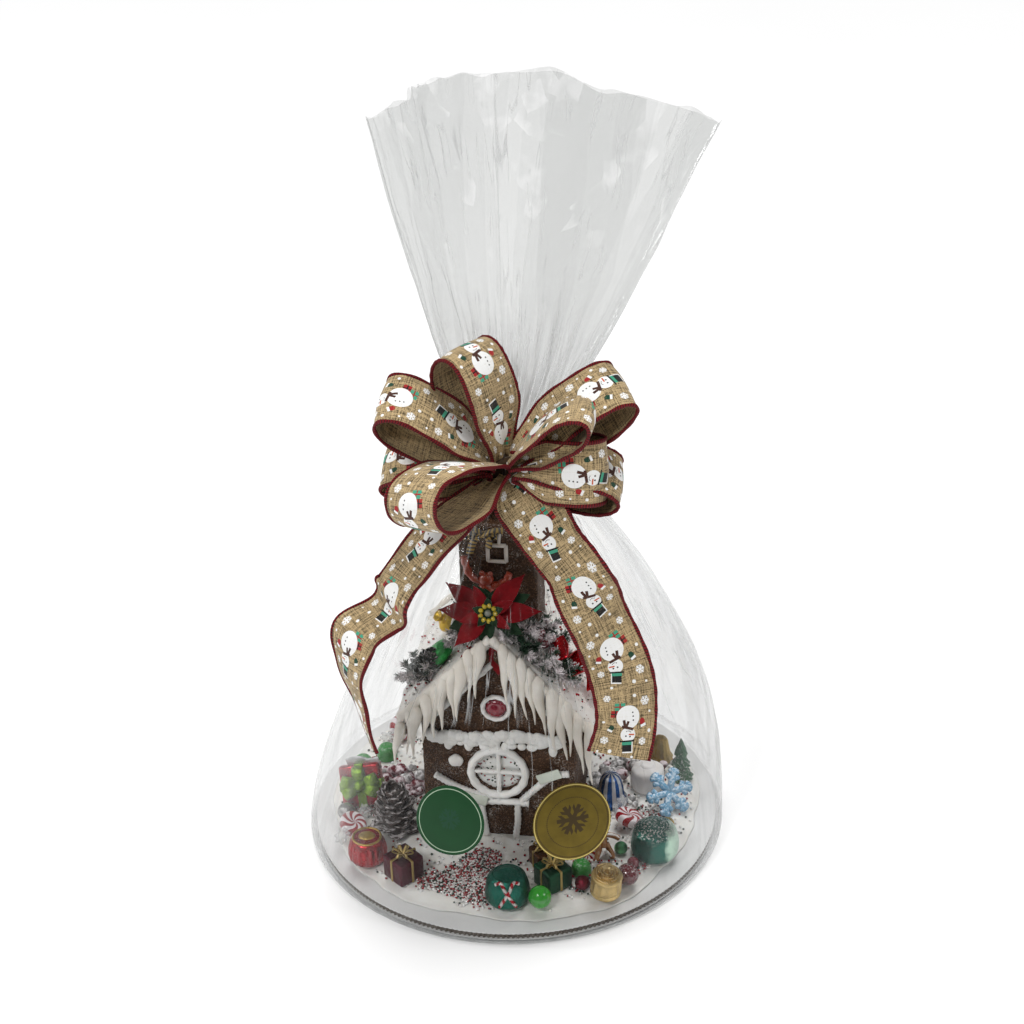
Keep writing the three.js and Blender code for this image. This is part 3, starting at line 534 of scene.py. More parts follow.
def icing(name, tone=(0.80, 0.78, 0.74), specks=0.0):
    """Matt sugar icing, with red and green specks over a share of it."""
    depths = (0.0018, 0.0013, 0.001)
    look = Look(name, Subsurface_Weight=0.12, Subsurface_Radius=depths, Subsurface_Scale=1.0)
    dim = tuple(c * f for c, f in zip(tone, (0.93, 0.92, 0.9)))
    colour = look.blend(look.spots(11, 0.35, 0.68, 3), tone, dim)
    if specks:
        hue = look.cells(2.6, output="Color")
        ink = look.blend(look.step(hue, 0.45, 0.5), (0.25, 0.015, 0.02), (0.02, 0.035, 0.02))
        colour = look.blend(look.cells(2.6) < specks, colour, ink)
    fine = look.bump(look.noise(0.8, 3), 0.12, 0.6)
    return look.finished(colour, (5, 0.4, 0.65), look.bump(look.noise(6, 3), 0.5, 0.6, fine))


def gloss(name, colour, roughness=0.12, dust=0.0):
    """Boiled sugar or a sugar shell."""
    look = Look(name, Coat_Weight=0.6, Coat_Roughness=0.06)
    tint = look.blend(look.spots(4, 0.35, 0.7, 3), colour, shade(colour, 0.75))
    if dust:
        tint = look.dusted(tint, dust, 1.1, 0.56, 0.62, 0.1, (0.75, 0.72, 0.72))
    return look.finished(tint, (2, roughness, roughness + 0.15), look.bump(look.noise(2.5, 2), 0.15, 0.5))


def foil(name, colour, crease=3.0, roughness=0.24, dust=0.0, second=None):
    """Pressed foil with creases of a size; second may change its colour over part of the piece."""
    look = Look(name, Metallic=0.85, Specular_IOR_Level=0.6)
    tint = look.blend(look.noise(6, 3), shade(colour, 0.7), shade(colour, 1.25))
    if second:
        tint = second(look, tint)
    if dust:
        tint = look.dusted(tint, dust, 1.3, 0.53, 0.6, 0.2, (0.8, 0.78, 0.76))
    sharp = look.bump(look.cells(crease, "DISTANCE_TO_EDGE"), 0.5, 0.8)
    normal = look.bump(look.noise(0.6 * crease, 4), 0.5, 0.7, sharp)
    return look.finished(tint, (3, roughness, roughness + 0.2), normal)


def frosted(name, colour, frost=(0.62, 0.60, 0.62), low=-0.1, high=0.9, specular=0.4, patch=1.8):
    """Dull surface with white settled in patches on what faces up."""
    look = Look(name, Specular_IOR_Level=specular)
    base = look.blend(look.noise(3, 4), colour, shade(colour, 0.55))
    settled = look.facing("Z", low, high) * look.spots(patch, 0.42, 0.62, 4)
    tint = look.blend(settled, base, frost)
    return look.finished(tint, (2, 0.45, 0.7), look.bump(look.noise(0.9, 3), 0.3, 0.8))


def velvet(name, colour):
    look = Look(name, Sheen_Weight=0.5, Sheen_Roughness=0.35, Specular_IOR_Level=0.15)
    tint = look.blend(look.noise(5, 4), colour, shade(colour, 0.35))
    return look.finished(tint, (1, 0.8, 0.9), look.bump(look.noise(0.5, 2), 0.1, 0.6))


def striped(name, first, second, bands, roughness, metallic):
    """Stripes along the cloth coordinate."""
    look = Look(name, Metallic=metallic, Coat_Weight=0.4, Coat_Roughness=0.1)
    wave = look.math("SINE", look.part(look.cloth(), "X") * (bands * TAU))
    tint = look.blend(look.step(wave, -0.15, 0.15), first, second)
    tint = look.blend(look.noise(2, 3) * 0.3, tint, (0.5, 0.5, 0.5))
    return look.finished(tint, (2, roughness, roughness + 0.15), look.bump(look.noise(2, 3), 0.2, 0.6))


def card(name, colour, dark):
    look = Look(name, Specular_IOR_Level=0.35)
    fibres = look.bump(look.noise(0.7, 3, stretch=(1, 6, 1)), 0.08, 0.6)
    return look.finished(look.blend(look.noise(5, 5), colour, dark), (9, 0.5, 0.7), fibres)


def pale_side_highlight(look, tint):
    """Paler foil on the side towards positive X: a painted highlight."""
    normal = look.part(look.out("NewGeometry", output="Normal"), "X")
    return look.blend(look.step(normal + look.noise(9) * 0.4, 0.55, 0.75), tint, (0.45, 0.62, 0.5))


def clear_film(
    name, tint, veil, haze=(0.80, 0.81, 0.81), lines=0.0, folds=40, pleat=1.8, gathers=0.2, sides=0.0,
    flats=0.0
):
    """Clear film: light passes it, and it shines at its creases.

    The cloth coordinate runs round the bag and up it in metres, so folds run up the film, and thin white
    lines along their creases which are painted highlights. The veil is a haze in broad bands with sharp
    edges, like layers. The film whitens where it is gathered into the neck, for its many layers and a painted
    reflection, and where it is seen along its surface. Flats is the strength of painted highlights high on
    the fan: clear facets without haze or tint, which pass what lies behind them undimmed.
    """
    look = Look(name)
    look.tree.nodes.remove(look.shader)
    uv = look.cloth()
    height = look.part(uv, "Y")
    pleats = look.noise(1000, 3, uv, (folds, 5, 1))
    normal = look.bump(look.noise(16, 3, stretch=(1, 1, 0.4)), 1.2, 0.6)
    normal = look.bump(pleats, pleat, 0.7, normal)
    facing = look.out("LayerWeight", {"Blend": 0.5}, "Facing")
    edge, side = look.math("POWER", facing, 4.0), look.math("POWER", facing, 1.9)

    # Painted highlights high on the fan: a few angular cells lose their haze and tint and read as white
    # glints.
    shards = look.cells(14, output="Color", coords=look.vector("MULTIPLY", uv, (0.56, 0.55, 1)))
    painted_glints = look.step(shards, 0.74, 0.75) * look.spots(22, 0.44, 0.66)
    painted_glints = painted_glints * look.step(height, 0.43, 0.50) * flats
    # The film's tint deepens where it is seen along its surface, and is gone at the painted highlights.
    passed = look.blend(painted_glints, look.blend(edge, tint, shade(tint, 0.955)), (1, 1, 1))
    clear = look.out("BsdfTransparent", {"Color": passed})
    shine = look.out("BsdfGlossy", {"Color": (1, 1, 1), "Roughness": 0.08, "Normal": normal})
    fresnel = look.out("Fresnel", {"IOR": 1.49, "Normal": normal})
    mirror = look.math("MINIMUM", look.math("SUBTRACT", fresnel, 0.037, clamp=True), 0.28)
    glass = look.out("MixShader", {0: mirror, 1: clear, 2: shine})

    # Painted highlights: thin white lines of haze along the crests of the pleats stand in for glints on the
    # creases.
    thin = (1.0 - look.step(abs(pleats - 0.5), 0.001, 0.012)) * look.step(height, 0.07, 0.12)
    painted_crease_glints = thin * look.spots(45, 0.48, 0.64) * lines
    # The film is hazier and whiter where it is gathered into the neck: partly its many layers, partly a
    # painted reflection.
    neck = look.math("MINIMUM", look.step(height, 0.245, 0.33), 1.0 - look.step(height, 0.34, 0.45))
    streaks = look.spots(1000, 0.38, 0.66, 2, uv, (2.2 * folds, 6, 1))
    gathered = neck * streaks
    layer = look.spots(1000, 0.497, 0.503, 0, uv, (9, 1.0, 1))
    second = look.spots(1000, 0.495, 0.505, 0, look.vector("ADD", uv, (0.37, 0.2, 0)), (21, 2.6, 1))
    bands = layer * 0.5 + (second * 0.35 + 0.6)
    share = edge * 0.07 + (gathered * gathers + (bands * veil + painted_crease_glints))
    share = look.math("MULTIPLY_ADD", side * (streaks * 0.9 + 0.55), sides, share, clamp=True)
    # No haze at the painted highlights.
    share = share * (1.0 - painted_glints)
    # The haze is whiter on the painted crease highlights, where the film is gathered and where it is seen
    # along its surface.
    bright = look.math("MAXIMUM", look.math("MAXIMUM", painted_crease_glints, gathered), edge)
    cloud_tint = look.blend(bright, haze, (0.88, 0.89, 0.89))
    cloud = look.out("BsdfDiffuse", {"Color": cloud_tint, "Normal": normal})
    look.put(look.output.inputs["Surface"], look.out("MixShader", {0: share, 1: glass, 2: cloud}))
    return look.material


# ---------------------------------------------------------------- ribbon cloth
PRINT_CELL = 50  # one snowman for each 50 mm of ribbon
BURLAP = (0.215, 0.158, 0.084)
WHITE = (0.80, 0.80, 0.79)
BLACK = (0.012, 0.012, 0.013)
RED = (0.32, 0.018, 0.02)
GREEN = (0.05, 0.30, 0.19)
DARK_GREEN = (0.01, 0.05, 0.03)
BROWN = (0.055, 0.02, 0.015)
ORANGE = (0.5, 0.09, 0.03)


class Print:
    """Draws flat shapes over a cell of the ribbon.

    Places and sizes are in millimetres from the middle of the cell.
    """

    def __init__(self, look, ink, repeats=True):
        self.look, self.ink = look, ink
        self.place = look.vector("MULTIPLY", look.cloth(), (1000, 1000, 0))
        if repeats:
            along = look.part(self.place, "Y")
            row = look.math("FLOOR", along / PRINT_CELL)
            upside_down = look.math("MULTIPLY_ADD", look.math("FLOORED_MODULO", row, 2.0), -2.0, 1.0)
            across = look.part(self.place, "X") * upside_down
            self.place = look.out("CombineXYZ", {0: across, 1: along - (row + 0.5) * PRINT_CELL, 2: 0.0})

    def local(self, at, size, turn=0):
        inputs = {"Vector": self.place, "Location": (*at, 0), "Scale": (*size, 1)}
        return self.look.out("Mapping", {**inputs, "Rotation": (0, 0, rad(turn))}, vector_type="TEXTURE")

    def fill(self, mask, colour):
        self.ink = self.look.blend(mask, self.ink, colour)

    def oval(self, at, size, colour, turn=0):
        size = (size, size) if not hasattr(size, "__len__") else size
        self.fill(self.look.vector("LENGTH", self.local(at, size, turn)) < 1.0, colour)

    def block(self, at, half, colour, turn=0):
        off = self.look.vector("ABSOLUTE", self.local(at, half, turn))
        reach = self.look.math("MAXIMUM", self.look.part(off, "X"), self.look.part(off, "Y"))
        self.fill(reach < 1.0, colour)

    def flake(self, at, radius, turn=0, colour=WHITE):
        """Six thin arms with a pair of barbs on each."""
        look = self.look
        here = self.local(at, (radius, radius), turn)
        reach = look.vector("LENGTH", here)
        angle = look.math("PINGPONG", look.heading(here), rad(30))
        off, out = reach * look.math("SINE", angle), reach * look.math("COSINE", angle)
        barbs = (abs(out - 0.45 - off) < 0.12) * (off < 0.36)
        self.fill((reach < 1.0) * look.math("MAXIMUM", off < 0.13, barbs), colour)

    def band(self, radius, half, colour):
        """Ring about the middle."""
        self.fill(abs(self.look.vector("LENGTH", self.place) - radius) < half, colour)

    def beads(self, radius, size, count, colour):
        """Ring of dots about the middle."""
        look = self.look
        pitch = TAU * radius / count
        along = look.math("PINGPONG", look.heading(self.place) * radius, pitch / 2) - pitch / 4
        dot = look.out("CombineXYZ", {0: look.vector("LENGTH", self.place) - radius, 1: along})
        self.fill(look.vector("LENGTH", dot) < size, colour)

    def gift(self, at, half, colour, band, turn):
        self.block(at, half, colour, turn)
        self.block(at, (half[0], 0.45), band, turn)
        self.block(at, (0.45, half[1]), band, turn)

    def mitten(self, at, colour, turn):
        self.oval(at, (1.9, 2.3), colour, turn)
        lift = Matrix.Rotation(rad(turn), 2) @ vec(0, 2.2)
        self.block((at[0] + lift.x, at[1] + lift.y), (1.9, 0.8), WHITE, turn)


def draw_snowman(art):
    """A snowman in a tall hat between its gifts, mittens and snowflakes."""
    art.gift((-8.6, -8.2), (3.2, 2.7), RED, BLACK, 8)
    art.gift((-5.0, -13.4), (3.7, 2.7), GREEN, RED, 6)
    art.oval((0.4, -5.6), (8.4, 8.2), WHITE)
    art.oval((2.0, 6.6), (5.3, 5.1), WHITE)
    scarf = (
        ((0.8, 2.0), (4.4, 0.95), BROWN, 8), ((-1.9, -1.0), (1.0, 2.6), BROWN, -14),
        ((0.3, -0.6), (0.95, 2.2), BROWN, 16)
    )
    hat = (
        ((3.9, 15.4), (3.6, 3.9), WHITE, -14), ((3.3, 14.8), (3.3, 3.7), BLACK, -14),
        ((2.7, 12.6), (3.5, 1.2), GREEN, -14), ((2.4, 11.2), (5.2, 0.6), BLACK, -14)
    )
    for patch in scarf + hat:
        art.block(*patch)
    eyes = [(0.8, 7.8), (3.8, 7.7)]
    for at in eyes:
        art.oval(at, 0.6, BLACK)
    art.block((4.6, 6.2), (2.0, 0.5), ORANGE, -6)
    for k in range(4):
        art.oval((0.6 + 1.0 * k, 4.5 - 0.5 * sin(k * 1.05)), 0.35, BLACK)
    for k in range(3):
        art.oval((4.4 - 0.3 * k, -3.4 - 2.6 * k), 0.55, BLACK)
    art.mitten((-10.8, 3.2), DARK_GREEN, 20)
    art.mitten((11.2, -2.4), RED, -24)
    for x, y, radius, turn in (
        (-13.5, 13.5, 3.0, 8), (13.2, 9.5, 2.6, 22), (13.0, -15.5, 3.2, 0), (-13.2, -21.0, 2.7, 15)
    ):
        art.flake((x, y), radius, turn)
    dots = (
        (-7.5, 20.5, 1.3), (8.5, 21.5, 1.0), (17.0, 2.6, 1.1), (-16.8, -1.5, 1.1), (6.0, -20.0, 1.2),
        (-15.8, 22.0, 0.8), (16.4, -8.2, 0.8)
    )
    for x, y, radius in dots:
        art.oval((x, y), radius, WHITE)


def burlap(name, printed):
    """Woven ribbon with slubs in both directions, printed or plain."""
    look = Look(name, Specular_IOR_Level=0.2, Sheen_Weight=0.15)
    uv = look.cloth()
    thread = (look.noise(0.9, 2, uv, (1, 0.05, 1)) + look.noise(0.9, 2, uv, (0.05, 1, 1))) * 0.5
    tan = look.blend(look.step(thread, 0.33, 0.60), shade(BURLAP, 0.27), shade(BURLAP, 2.3))
    tan = look.blend(look.spots(0.8, 0.56, 0.68, 2), tan, shade(BURLAP, 0.25))
    ink = tan
    if printed:
        art = Print(look, tan)
        draw_snowman(art)
        ink = look.blend(look.step(thread, 0.5, 0.7) * 0.22, art.ink, tan)
    return look.finished(ink, (2, 0.78, 0.88), look.bump(thread, 0.5, 0.8))


def overlocked():
    """Dark red stitched edge: the stitches wind round the wire."""
    look = Look("stitched_edge", Specular_IOR_Level=0.25)
    uv = look.cloth()
    slant = look.part(uv, "Y") * (TAU * 560) + look.part(uv, "X") * TAU
    wave = look.math("SINE", slant) * 0.5 + 0.5
    tint = look.blend(wave, (0.035, 0.003, 0.005), (0.19, 0.008, 0.012))
    return look.finished(tint, (1, 0.65, 0.75), look.bump(wave, 0.5, 0.8))


# ---------------------------------------------------------------- board and icing
def icing_radius(angle):
    return ICING_RADIUS + 2.2 * sin(5 * angle + 1) + 1.3 * sin(11 * angle) + 1.4 * sin(3 * angle - 1)


def build_board():
    """Two white liners with a fluted core between them, cut to a circle."""
    foot, top = BOARD_BASE, BOARD_BASE + BOARD_THICKNESS
    edge, inner = BOARD_RADIUS - 0.5, BOARD_RADIUS - 9
    flutes = 270
    sides = 4 * flutes
    body = Body()
    for low, high in ((foot, foot + 0.7), (top - 0.8, top)):
        rim = [(inner, low), (edge, low), (edge, high), (inner, high)]
        body.add(lathe(rim, sides, lambda angle, z: 1 + 0.0016 * sin(flutes * angle), smooth=0))
    low, high = foot + 0.6, top - 0.7
    core = [(edge - 1.5, mix(low, high, k / 5)) for k in range(6)]
    core = [(inner - 3, low), *core, (inner - 3, high)]
    fluted = lathe(core, sides, lambda angle, z: 1 + 0.006 * sin(flutes * angle + 0.35 * z), smooth=0)
    body.add(fluted, skin=1)
    white = card("board_coat", (0.76, 0.76, 0.75), (0.70, 0.70, 0.70))
    brown = card("board_core", (0.20, 0.17, 0.14), (0.10, 0.085, 0.07))
    stand_in("board", body, [white, brown], "cake_board", sharp=50)


def ground_height(x, y):
    """Level of the icing's top, spread unevenly and drawn up towards the house."""
    radius, angle = math.hypot(x, y), math.atan2(y, x)
    share = radius / icing_radius(angle)
    near = from_house(vec(x, y, 0))
    away = max(abs(near.x) - WALL_HALF_WIDTH, -near.y, near.y - HOUSE_DEPTH, 0)
    z = ICING_BASE + ICING_DEPTH * (1 - ramp(share, 0.86, 1.0) ** 2 * 0.75)
    z += 3.2 * (1 - ramp(away, 0, 26)) * (0.6 + 0.6 * rough((x, y, 0), 9, 3))
    line = 0.935 + 0.012 * sin(7 * angle + 2) + 0.008 * sin(17 * angle)
    z += 0.7 * math.exp(-(((share - line) / 0.013) ** 2))
    z += 0.55 * rough((x, y, 0), 16) + 0.22 * rough((x, y, 5), 5, 2)
    return z


def build_ground():
    sides, steps = 240, 52
    rings = [around(r, ICING_BASE, sides) for r in (20, 134)]
    for z, share in ((0.05, 1.0), (0.5, 1.004), (0.95, 0.998)):
        ring = []
        for k in range(sides):
            angle = TAU * k / sides
            r = share * (icing_radius(angle) + 0.8 * sin(29 * angle) * sin(7 * angle))
            ring.append(vec(r * cos(angle), r * sin(angle), ICING_BASE + 1.5 * z))
        rings.append(ring)
    for j in range(steps):
        share = mix(0.99, 0.02, j / (steps - 1))
        ring = []
        for k in range(sides):
            angle = TAU * k / sides
            r = share * icing_radius(angle)
            x, y = r * cos(angle), r * sin(angle)
            ring.append(vec(x, y, ground_height(x, y)))
        rings.append(ring)
    stand_in("icing_ground", loft(rings), icing("icing_spread", (0.80, 0.79, 0.76)), "icing_base")


# ---------------------------------------------------------------- house
HOUSE = shifted(*HOUSE_FRONT, FLOOR) @ about("Z", -HOUSE_TURN)
OUT_OF_HOUSE = HOUSE.inverted()
SLOPE = math.tan(rad(ROOF_PITCH))
UPRIGHT = 1 / cos(rad(ROOF_PITCH))
APEX_HEIGHT = EAVE_HEIGHT + WALL_HALF_WIDTH * SLOPE


def from_house(p):
    return OUT_OF_HOUSE @ p


def roof_under(u):
    return APEX_HEIGHT + GAP * UPRIGHT - abs(u) * SLOPE


def snow_top(u):
    return roof_under(u) + (WALL_THICKNESS + GAP + SNOW_DEPTH) * UPRIGHT


def build_walls():
    dough = gingerbread()
    nodes = (
        "front_wall", "back_wall", "side_wall_left", "side_wall_right", "roof_panel_left",
        "roof_panel_right", "chimney"
    )
    for node in nodes:
        panel = remeshed(copied(node, node + "_baked", dough), 1.8)
        displaced(panel, lambda p, n: 0.45 * rough(p, 7) + 0.2 * rough(p, 2.6, 4))
        dress(panel, [node])


def build_snow():
    snow = remeshed(copied("roof_snow", "snow", icing("icing_snow", (0.78, 0.76, 0.73), specks=0.16)), 2.0)

    def drift(p, n):
        """Lumps on top, little change underneath."""
        top = ramp(n.z, 0.0, 0.5)
        return mix(0.2, 1.0, top) * (1.3 * rough(p, 13) + 0.7 * rough(p, 5, 2) + 0.3 * rough(p, 2, 7))

    displaced(snow, drift)
    dress(snow, ["roof_snow"])


def icicle(top, length, radius, lean, seed):
    """Piped stroke: fat in its upper half, drawn out to a point."""
    shares = [k / 22 for k in range(23)]
    line = [
        top + vec(lean * (s - 0.3) + 1.1 * sin(5 * s + seed), -2.2 * sin(2.6 * s), -length * s)
        for s in shares
    ]

    def width(s, a):
        start = math.sqrt(max(0.03, min(1, s / 0.09)))
        taper = mix(1, 0.62, ramp(s, 0.22, 0.55)) * mix(1, 0.36, ramp(s, 0.5, 0.8))
        taper *= mix(1, 0.35, ramp(s, 0.85, 1.0))
        dent = 0.16 * sin(2 * a + seed) * ramp(s, 0.1, 0.3) + 0.08 * sin(11 * s + seed + a)
        return radius * start * taper * (1 + dent)

    return tube(line, width, 12)


def icicle_row(name, w, a_side, length, radius, node):
    """Icicles down both slopes of a gable from a bead of icing, a_side on each, w along the house."""
    pick = random.Random(11)
    body = Body()
    for side in (-1, 1):
        edge = [vec(side * u, w + 1.2, snow_top(u) - 2.6) for u in (0, 20, 45, ROOF_REACH - 2)]
        body.add(tube(spline(edge, 8), lambda s, a: 3.2 + 0.5 * sin(40 * s), 10))
        for k in range(a_side):
            share = (k + 0.4 * pick.random()) / (a_side - 0.7)
            u = mix(7.5, ROOF_REACH - 1, share)
            low = 7 * share if side < 0 else -2 * share
            top = vec(side * u, w + pick.uniform(-1, 1), snow_top(u) + radius - low + pick.uniform(-1, 1.5))
            long = length * pick.uniform(0.9, 1.12) * (mix(1.05, 0.86, share) if side < 0 else 1.05)
            body.add(
                icicle(
                    top, long, radius * pick.uniform(0.88, 1.12), side * pick.uniform(2, 5.5),
                    6 * pick.random()
                )
            )
    body.turned(HOUSE)
    stand_in(name, body, icing("icing_" + name, (0.74, 0.70, 0.64)), node)


def piped(points, radius, seed=0.0):
    """Run of icing on the front wall through points of across and up."""
    line = spline([(u, -radius - GAP, v) for u, v in points], 9)

    def width(s, a):
        return radius * (1 + 0.13 * sin(17 * s * len(points) + seed) + 0.07 * sin(3 * a + 9 * s))

    return tube(line, width, 12)


def round_line(center, radius, count, depth):
    """Circle on the front wall about a place of across and up."""
    flat = around(radius, -depth - GAP, count)
    return [vec(center[0] + p.x, p.z, center[1] + p.y) for p in flat]


def wobbly(radius, waves, depth=0.1):
    return lambda s, a: radius * (1 + depth * sin(waves * TAU * s) + 0.05 * sin(3 * a))


def build_piping():
    across, up, radius = WINDOW
    big = radius + 3
    white = icing("icing_piped", (0.80, 0.79, 0.77), specks=0.07)
    body = Body()
    for side in (-1, 1):
        rake = [(side * 50, roof_under(50) - 6), (side * 25, roof_under(25) - 6.5), (0, roof_under(0) - 6)]
        body.add(piped(rake, 2.9, side))
    body.add(tube(round_line((across, up), big, 72, 2.6), wobbly(2.9, 14), 12, closed=True))
    body.add(piped([(-big, up), (0, up + 0.5), (big, up)], 1.7))
    body.add(piped([(0, up - big), (0.6, up), (0, up + big)], 1.7))
    ledge = [(mix(-49, 49, k / 12), 88 + 1.6 * sin(2 * k) + 0.8 * sin(5 * k)) for k in range(13)]
    pick = random.Random(3)
    for k in range(30):
        u = mix(ledge[0][0] + 1, ledge[-1][0] - 1, (k + 0.5 * pick.random()) / 30)
        v = 90.5 + 2.2 * sin(0.07 * u) + pick.uniform(-2.5, 2.5)
        size = (pick.uniform(4.6, 7.6), pick.uniform(2.2, 3.4), pick.uniform(3.4, 5.6))
        lump = Body(ball((u, -2.2 - GAP, v), size, 3))
        lump.move(lambda p: p + 1.1 * vec(rough(p, 3), 0.3 * rough(p, 3, 2), rough(p, 2.4, 4)))
        body.take(lump)
    for k in range(13):
        u, long = mix(-44, 44, (k + 0.6 * pick.random()) / 13), pick.uniform(3, 9)
        body.add(ball((u, -2.0 - GAP, 87 - 0.5 * long), (pick.uniform(2.6, 4.2), 2.1, 0.6 * long), 3))
    left_swag = [(mix(-47, -4, k / 5), 55 - 17 * sin(k / 5 * 1.57)) for k in range(6)]
    right_swag = [(mix(17, 52, k / 5), 36 + 27 * sin(k / 5 * 1.57)) for k in range(6)]
    for points, width, seed in (
        ([(0, up + big - 2), (0, 88)], 2.3, 0), (left_swag, 2.5, 5), (right_swag, 2.5, 6),
        ([(-20, 33), (0, 34.5), (22, 34)], 2.6, 7), ([(-13, 33), (-12, 18), (-10, 3)], 2.4, 8),
        ([(14, 34), (13.5, 18), (12, 3)], 2.4, 9), ([(0, up - big + 2), (0, 33)], 2.3, 3)
    ):
        body.add(piped(points, width, seed))
    stand_in("piping", body.turned(HOUSE), white, "front_piping")

    across, up, radius = ATTIC
    ring = tube(round_line((across, up), radius + 1.6, 60, 2.0), wobbly(1.7, 11), 12, closed=True)
    stand_in("attic_icing_ring", Body(ring).turned(HOUSE), white, "attic_ring")
    facing = HOUSE @ shifted(across, -GAP, up) @ about("X", 90)
    dome = lathe([(0.2, 0), (radius - 0.5, 0), (radius - 0.5, 1.6), (radius - 2.4, 3.8), (0.2, 4.6)], 40)
    stand_in(
        "attic_sweet", Body().add(dome, facing), gloss("jelly_dark_red", (0.22, 0.014, 0.03), dust=0.35),
        "attic_gumdrop"
    )
    dabbed = Body(ball((0, 0, 0), (5.6, 5.2, 2.6), 3)).move(lambda p: p * (1 + 0.12 * rough(p, 3)))
    dabbed.turned(HOUSE @ shifted(-31, -GAP - 1.3, 68) @ about("X", 90))
    stand_in("dab", dabbed, white, "icing_dab")

    across, up, radius = WINDOW
    pane = lathe([(0.2, 0), (radius - GAP, 0), (radius - GAP, 2.4), (radius * 0.6, 3.0), (0.2, 3.1)], 48)
    sugar = Body(pane).move(lambda p: p + vec(0, 0, 0.7 * rough(p, 3) if p.z > 1 else 0))
    frame_at = HOUSE @ shifted(across, 4, up) @ about("X", 90)
    stand_in(
        "window_pane", sugar.turned(frame_at), icing("coconut", (0.74, 0.74, 0.72), specks=0.3),
        "window_sugar"
    )
    plaque = slab([(-9, -4), (9, -4), (9, 4), (-9, 4)], 0, 1.6, 0.7)
    body = Body()
    for u, v, turn in ((-17, 38, -14), (38, 62, 24)):
        body.add(plaque, HOUSE @ shifted(u, -5.6, v) @ about("Y", -turn) @ about("X", 90))
    show("plaques", body, icing("plaque", (0.62, 0.66, 0.58)))


# ---------------------------------------------------------------- flower and sweets on the roof
def blade(
    length, width, droop, fold=0.25, ripple=0.6, start=1.0, thick=0.5, cells=(16, 5), waist=0.85, point=0.8
):
    """Leaf along X from the origin, thin in Z, drooping to its tip, creased down its middle."""
    rings = []
    for j in range(cells[0] + 1):
        s = j / cells[0]
        half = max(0.15, width / 2 * math.sin(math.pi * s**waist) ** point)
        x = mix(start, length, s)
        ring = []
        for side in (1, -1):
            for k in range(-cells[1], cells[1] + 1):
                y = half * k / cells[1] * side
                z = -droop * s * s + fold * abs(y) + ripple * sin(1.3 * x) * abs(y) / max(half, 1)
                ring.append(vec(x, y, z + side * thick / 2))
        rings.append(ring)
    return loft(rings)


def build_poinsettia():
    """Five large red leaves, smaller ones over them and green ones under them, round a ring of beads."""
    center = HOUSE @ shifted(-1, -8, snow_top(0) + 13) @ about("X", 58)
    red, green = Body(), Body()
    for k, (heading, long) in enumerate(((5, 37), (51, 37), (148, 38), (179, 37), (226, 34))):
        petal = blade(long, 14.5, 6 if k % 2 else 3, fold=0.55, ripple=1.0, point=1.25)
        red.add(petal, center @ shifted(0, 0, 3.4) @ about("Z", heading))
    for heading, long in ((28, 20), (120, 22), (200, 21), (328, 19)):
        petal = blade(long, 8.5, 1.0, fold=0.4, ripple=0.6)
        red.add(petal, center @ shifted(0, 0, 5.4) @ about("Z", heading) @ about("Y", -14))
    for heading, long in ((28, 31), (72, 19), (106, 18), (124, 24), (203, 31), (262, 24), (330, 27)):
        green.add(blade(long, 12, 3), center @ about("Z", heading))
    for k in range(5):
        at = center @ shifted(0, 0, 6.0) @ about("Z", 20 + 72 * k) @ about("Y", -22)
        green.add(blade(12, 6, 0.5), at)
    for u, w, lift in ((-16, -10.5, -2), (3, -10.5, -9), (13, -10.5, -7)):
        behind = HOUSE @ shifted(u, w, snow_top(abs(u)) + lift) @ about("Y", 90 - 14 * u / 16)
        red.add(blade(26, 11, 1.5, start=-6), behind @ about("X", 90))
    stand_in("flower_bracts", red, velvet("velvet_red", (0.27, 0.007, 0.012)), "poinsettia_bracts")
    stand_in("flower_leaves", green, velvet("velvet_green", (0.022, 0.055, 0.026)), "poinsettia_leaves")
    beads = Body()
    for at in around(5.4, 8, 9):
        beads.add(ball(center @ at, 1.95))
    beads.add(ball(center @ vec(0, 0, 7.6), 2.6), skin=1)
    yellow = gloss("yellow_bead", (0.50, 0.37, 0.02), 0.2)
    grey = gloss("grey_bead", (0.20, 0.21, 0.17), 0.3)
    stand_in("flower_beads", beads, [yellow, grey], "poinsettia_beads")


def on_roof(side, down, w, lift=0.0):
    """Frame on a slope of the roof: X down the slope to the right, Z out of the snow."""
    u = side * down
    return HOUSE @ shifted(u, w, snow_top(u) + (1.6 + lift) * UPRIGHT) @ about("Y", side * ROOF_PITCH)


def pine_cone(radius, height, scales, seed, open_by=1.0):
    """Spiral of thick pointed scales round a core."""
    pick = random.Random(seed)
    core = [(0.1, 0), (radius * 0.45, height * 0.1), (radius * 0.5, height * 0.5), (0.1, height * 0.92)]
    body = Body(lathe(core, 16))
    for k in range(scales):
        s = k / scales
        reach = radius * math.sqrt(max(0.02, 1 - (s * 0.93) ** 2)) * pick.uniform(0.85, 1.05)
        long = open_by * (mix(0.78, 0.42, s) * reach + 2)
        wide = mix(0.62, 0.3, s) * radius * open_by**0.5
        scale = blade(long, wide, -1.5 * open_by**3, 0.35, 0.2, start=0, thick=1.1, cells=(7, 2), waist=1.5)
        lean = mix(5, -62, s) + 8 * pick.random()
        root = shifted(reach - long * cos(rad(lean)), 0, mix(0.08, 0.9, s) * height)
        body.add(scale, about("Z", 137.5 * k) @ root @ about("Y", lean))
    return body


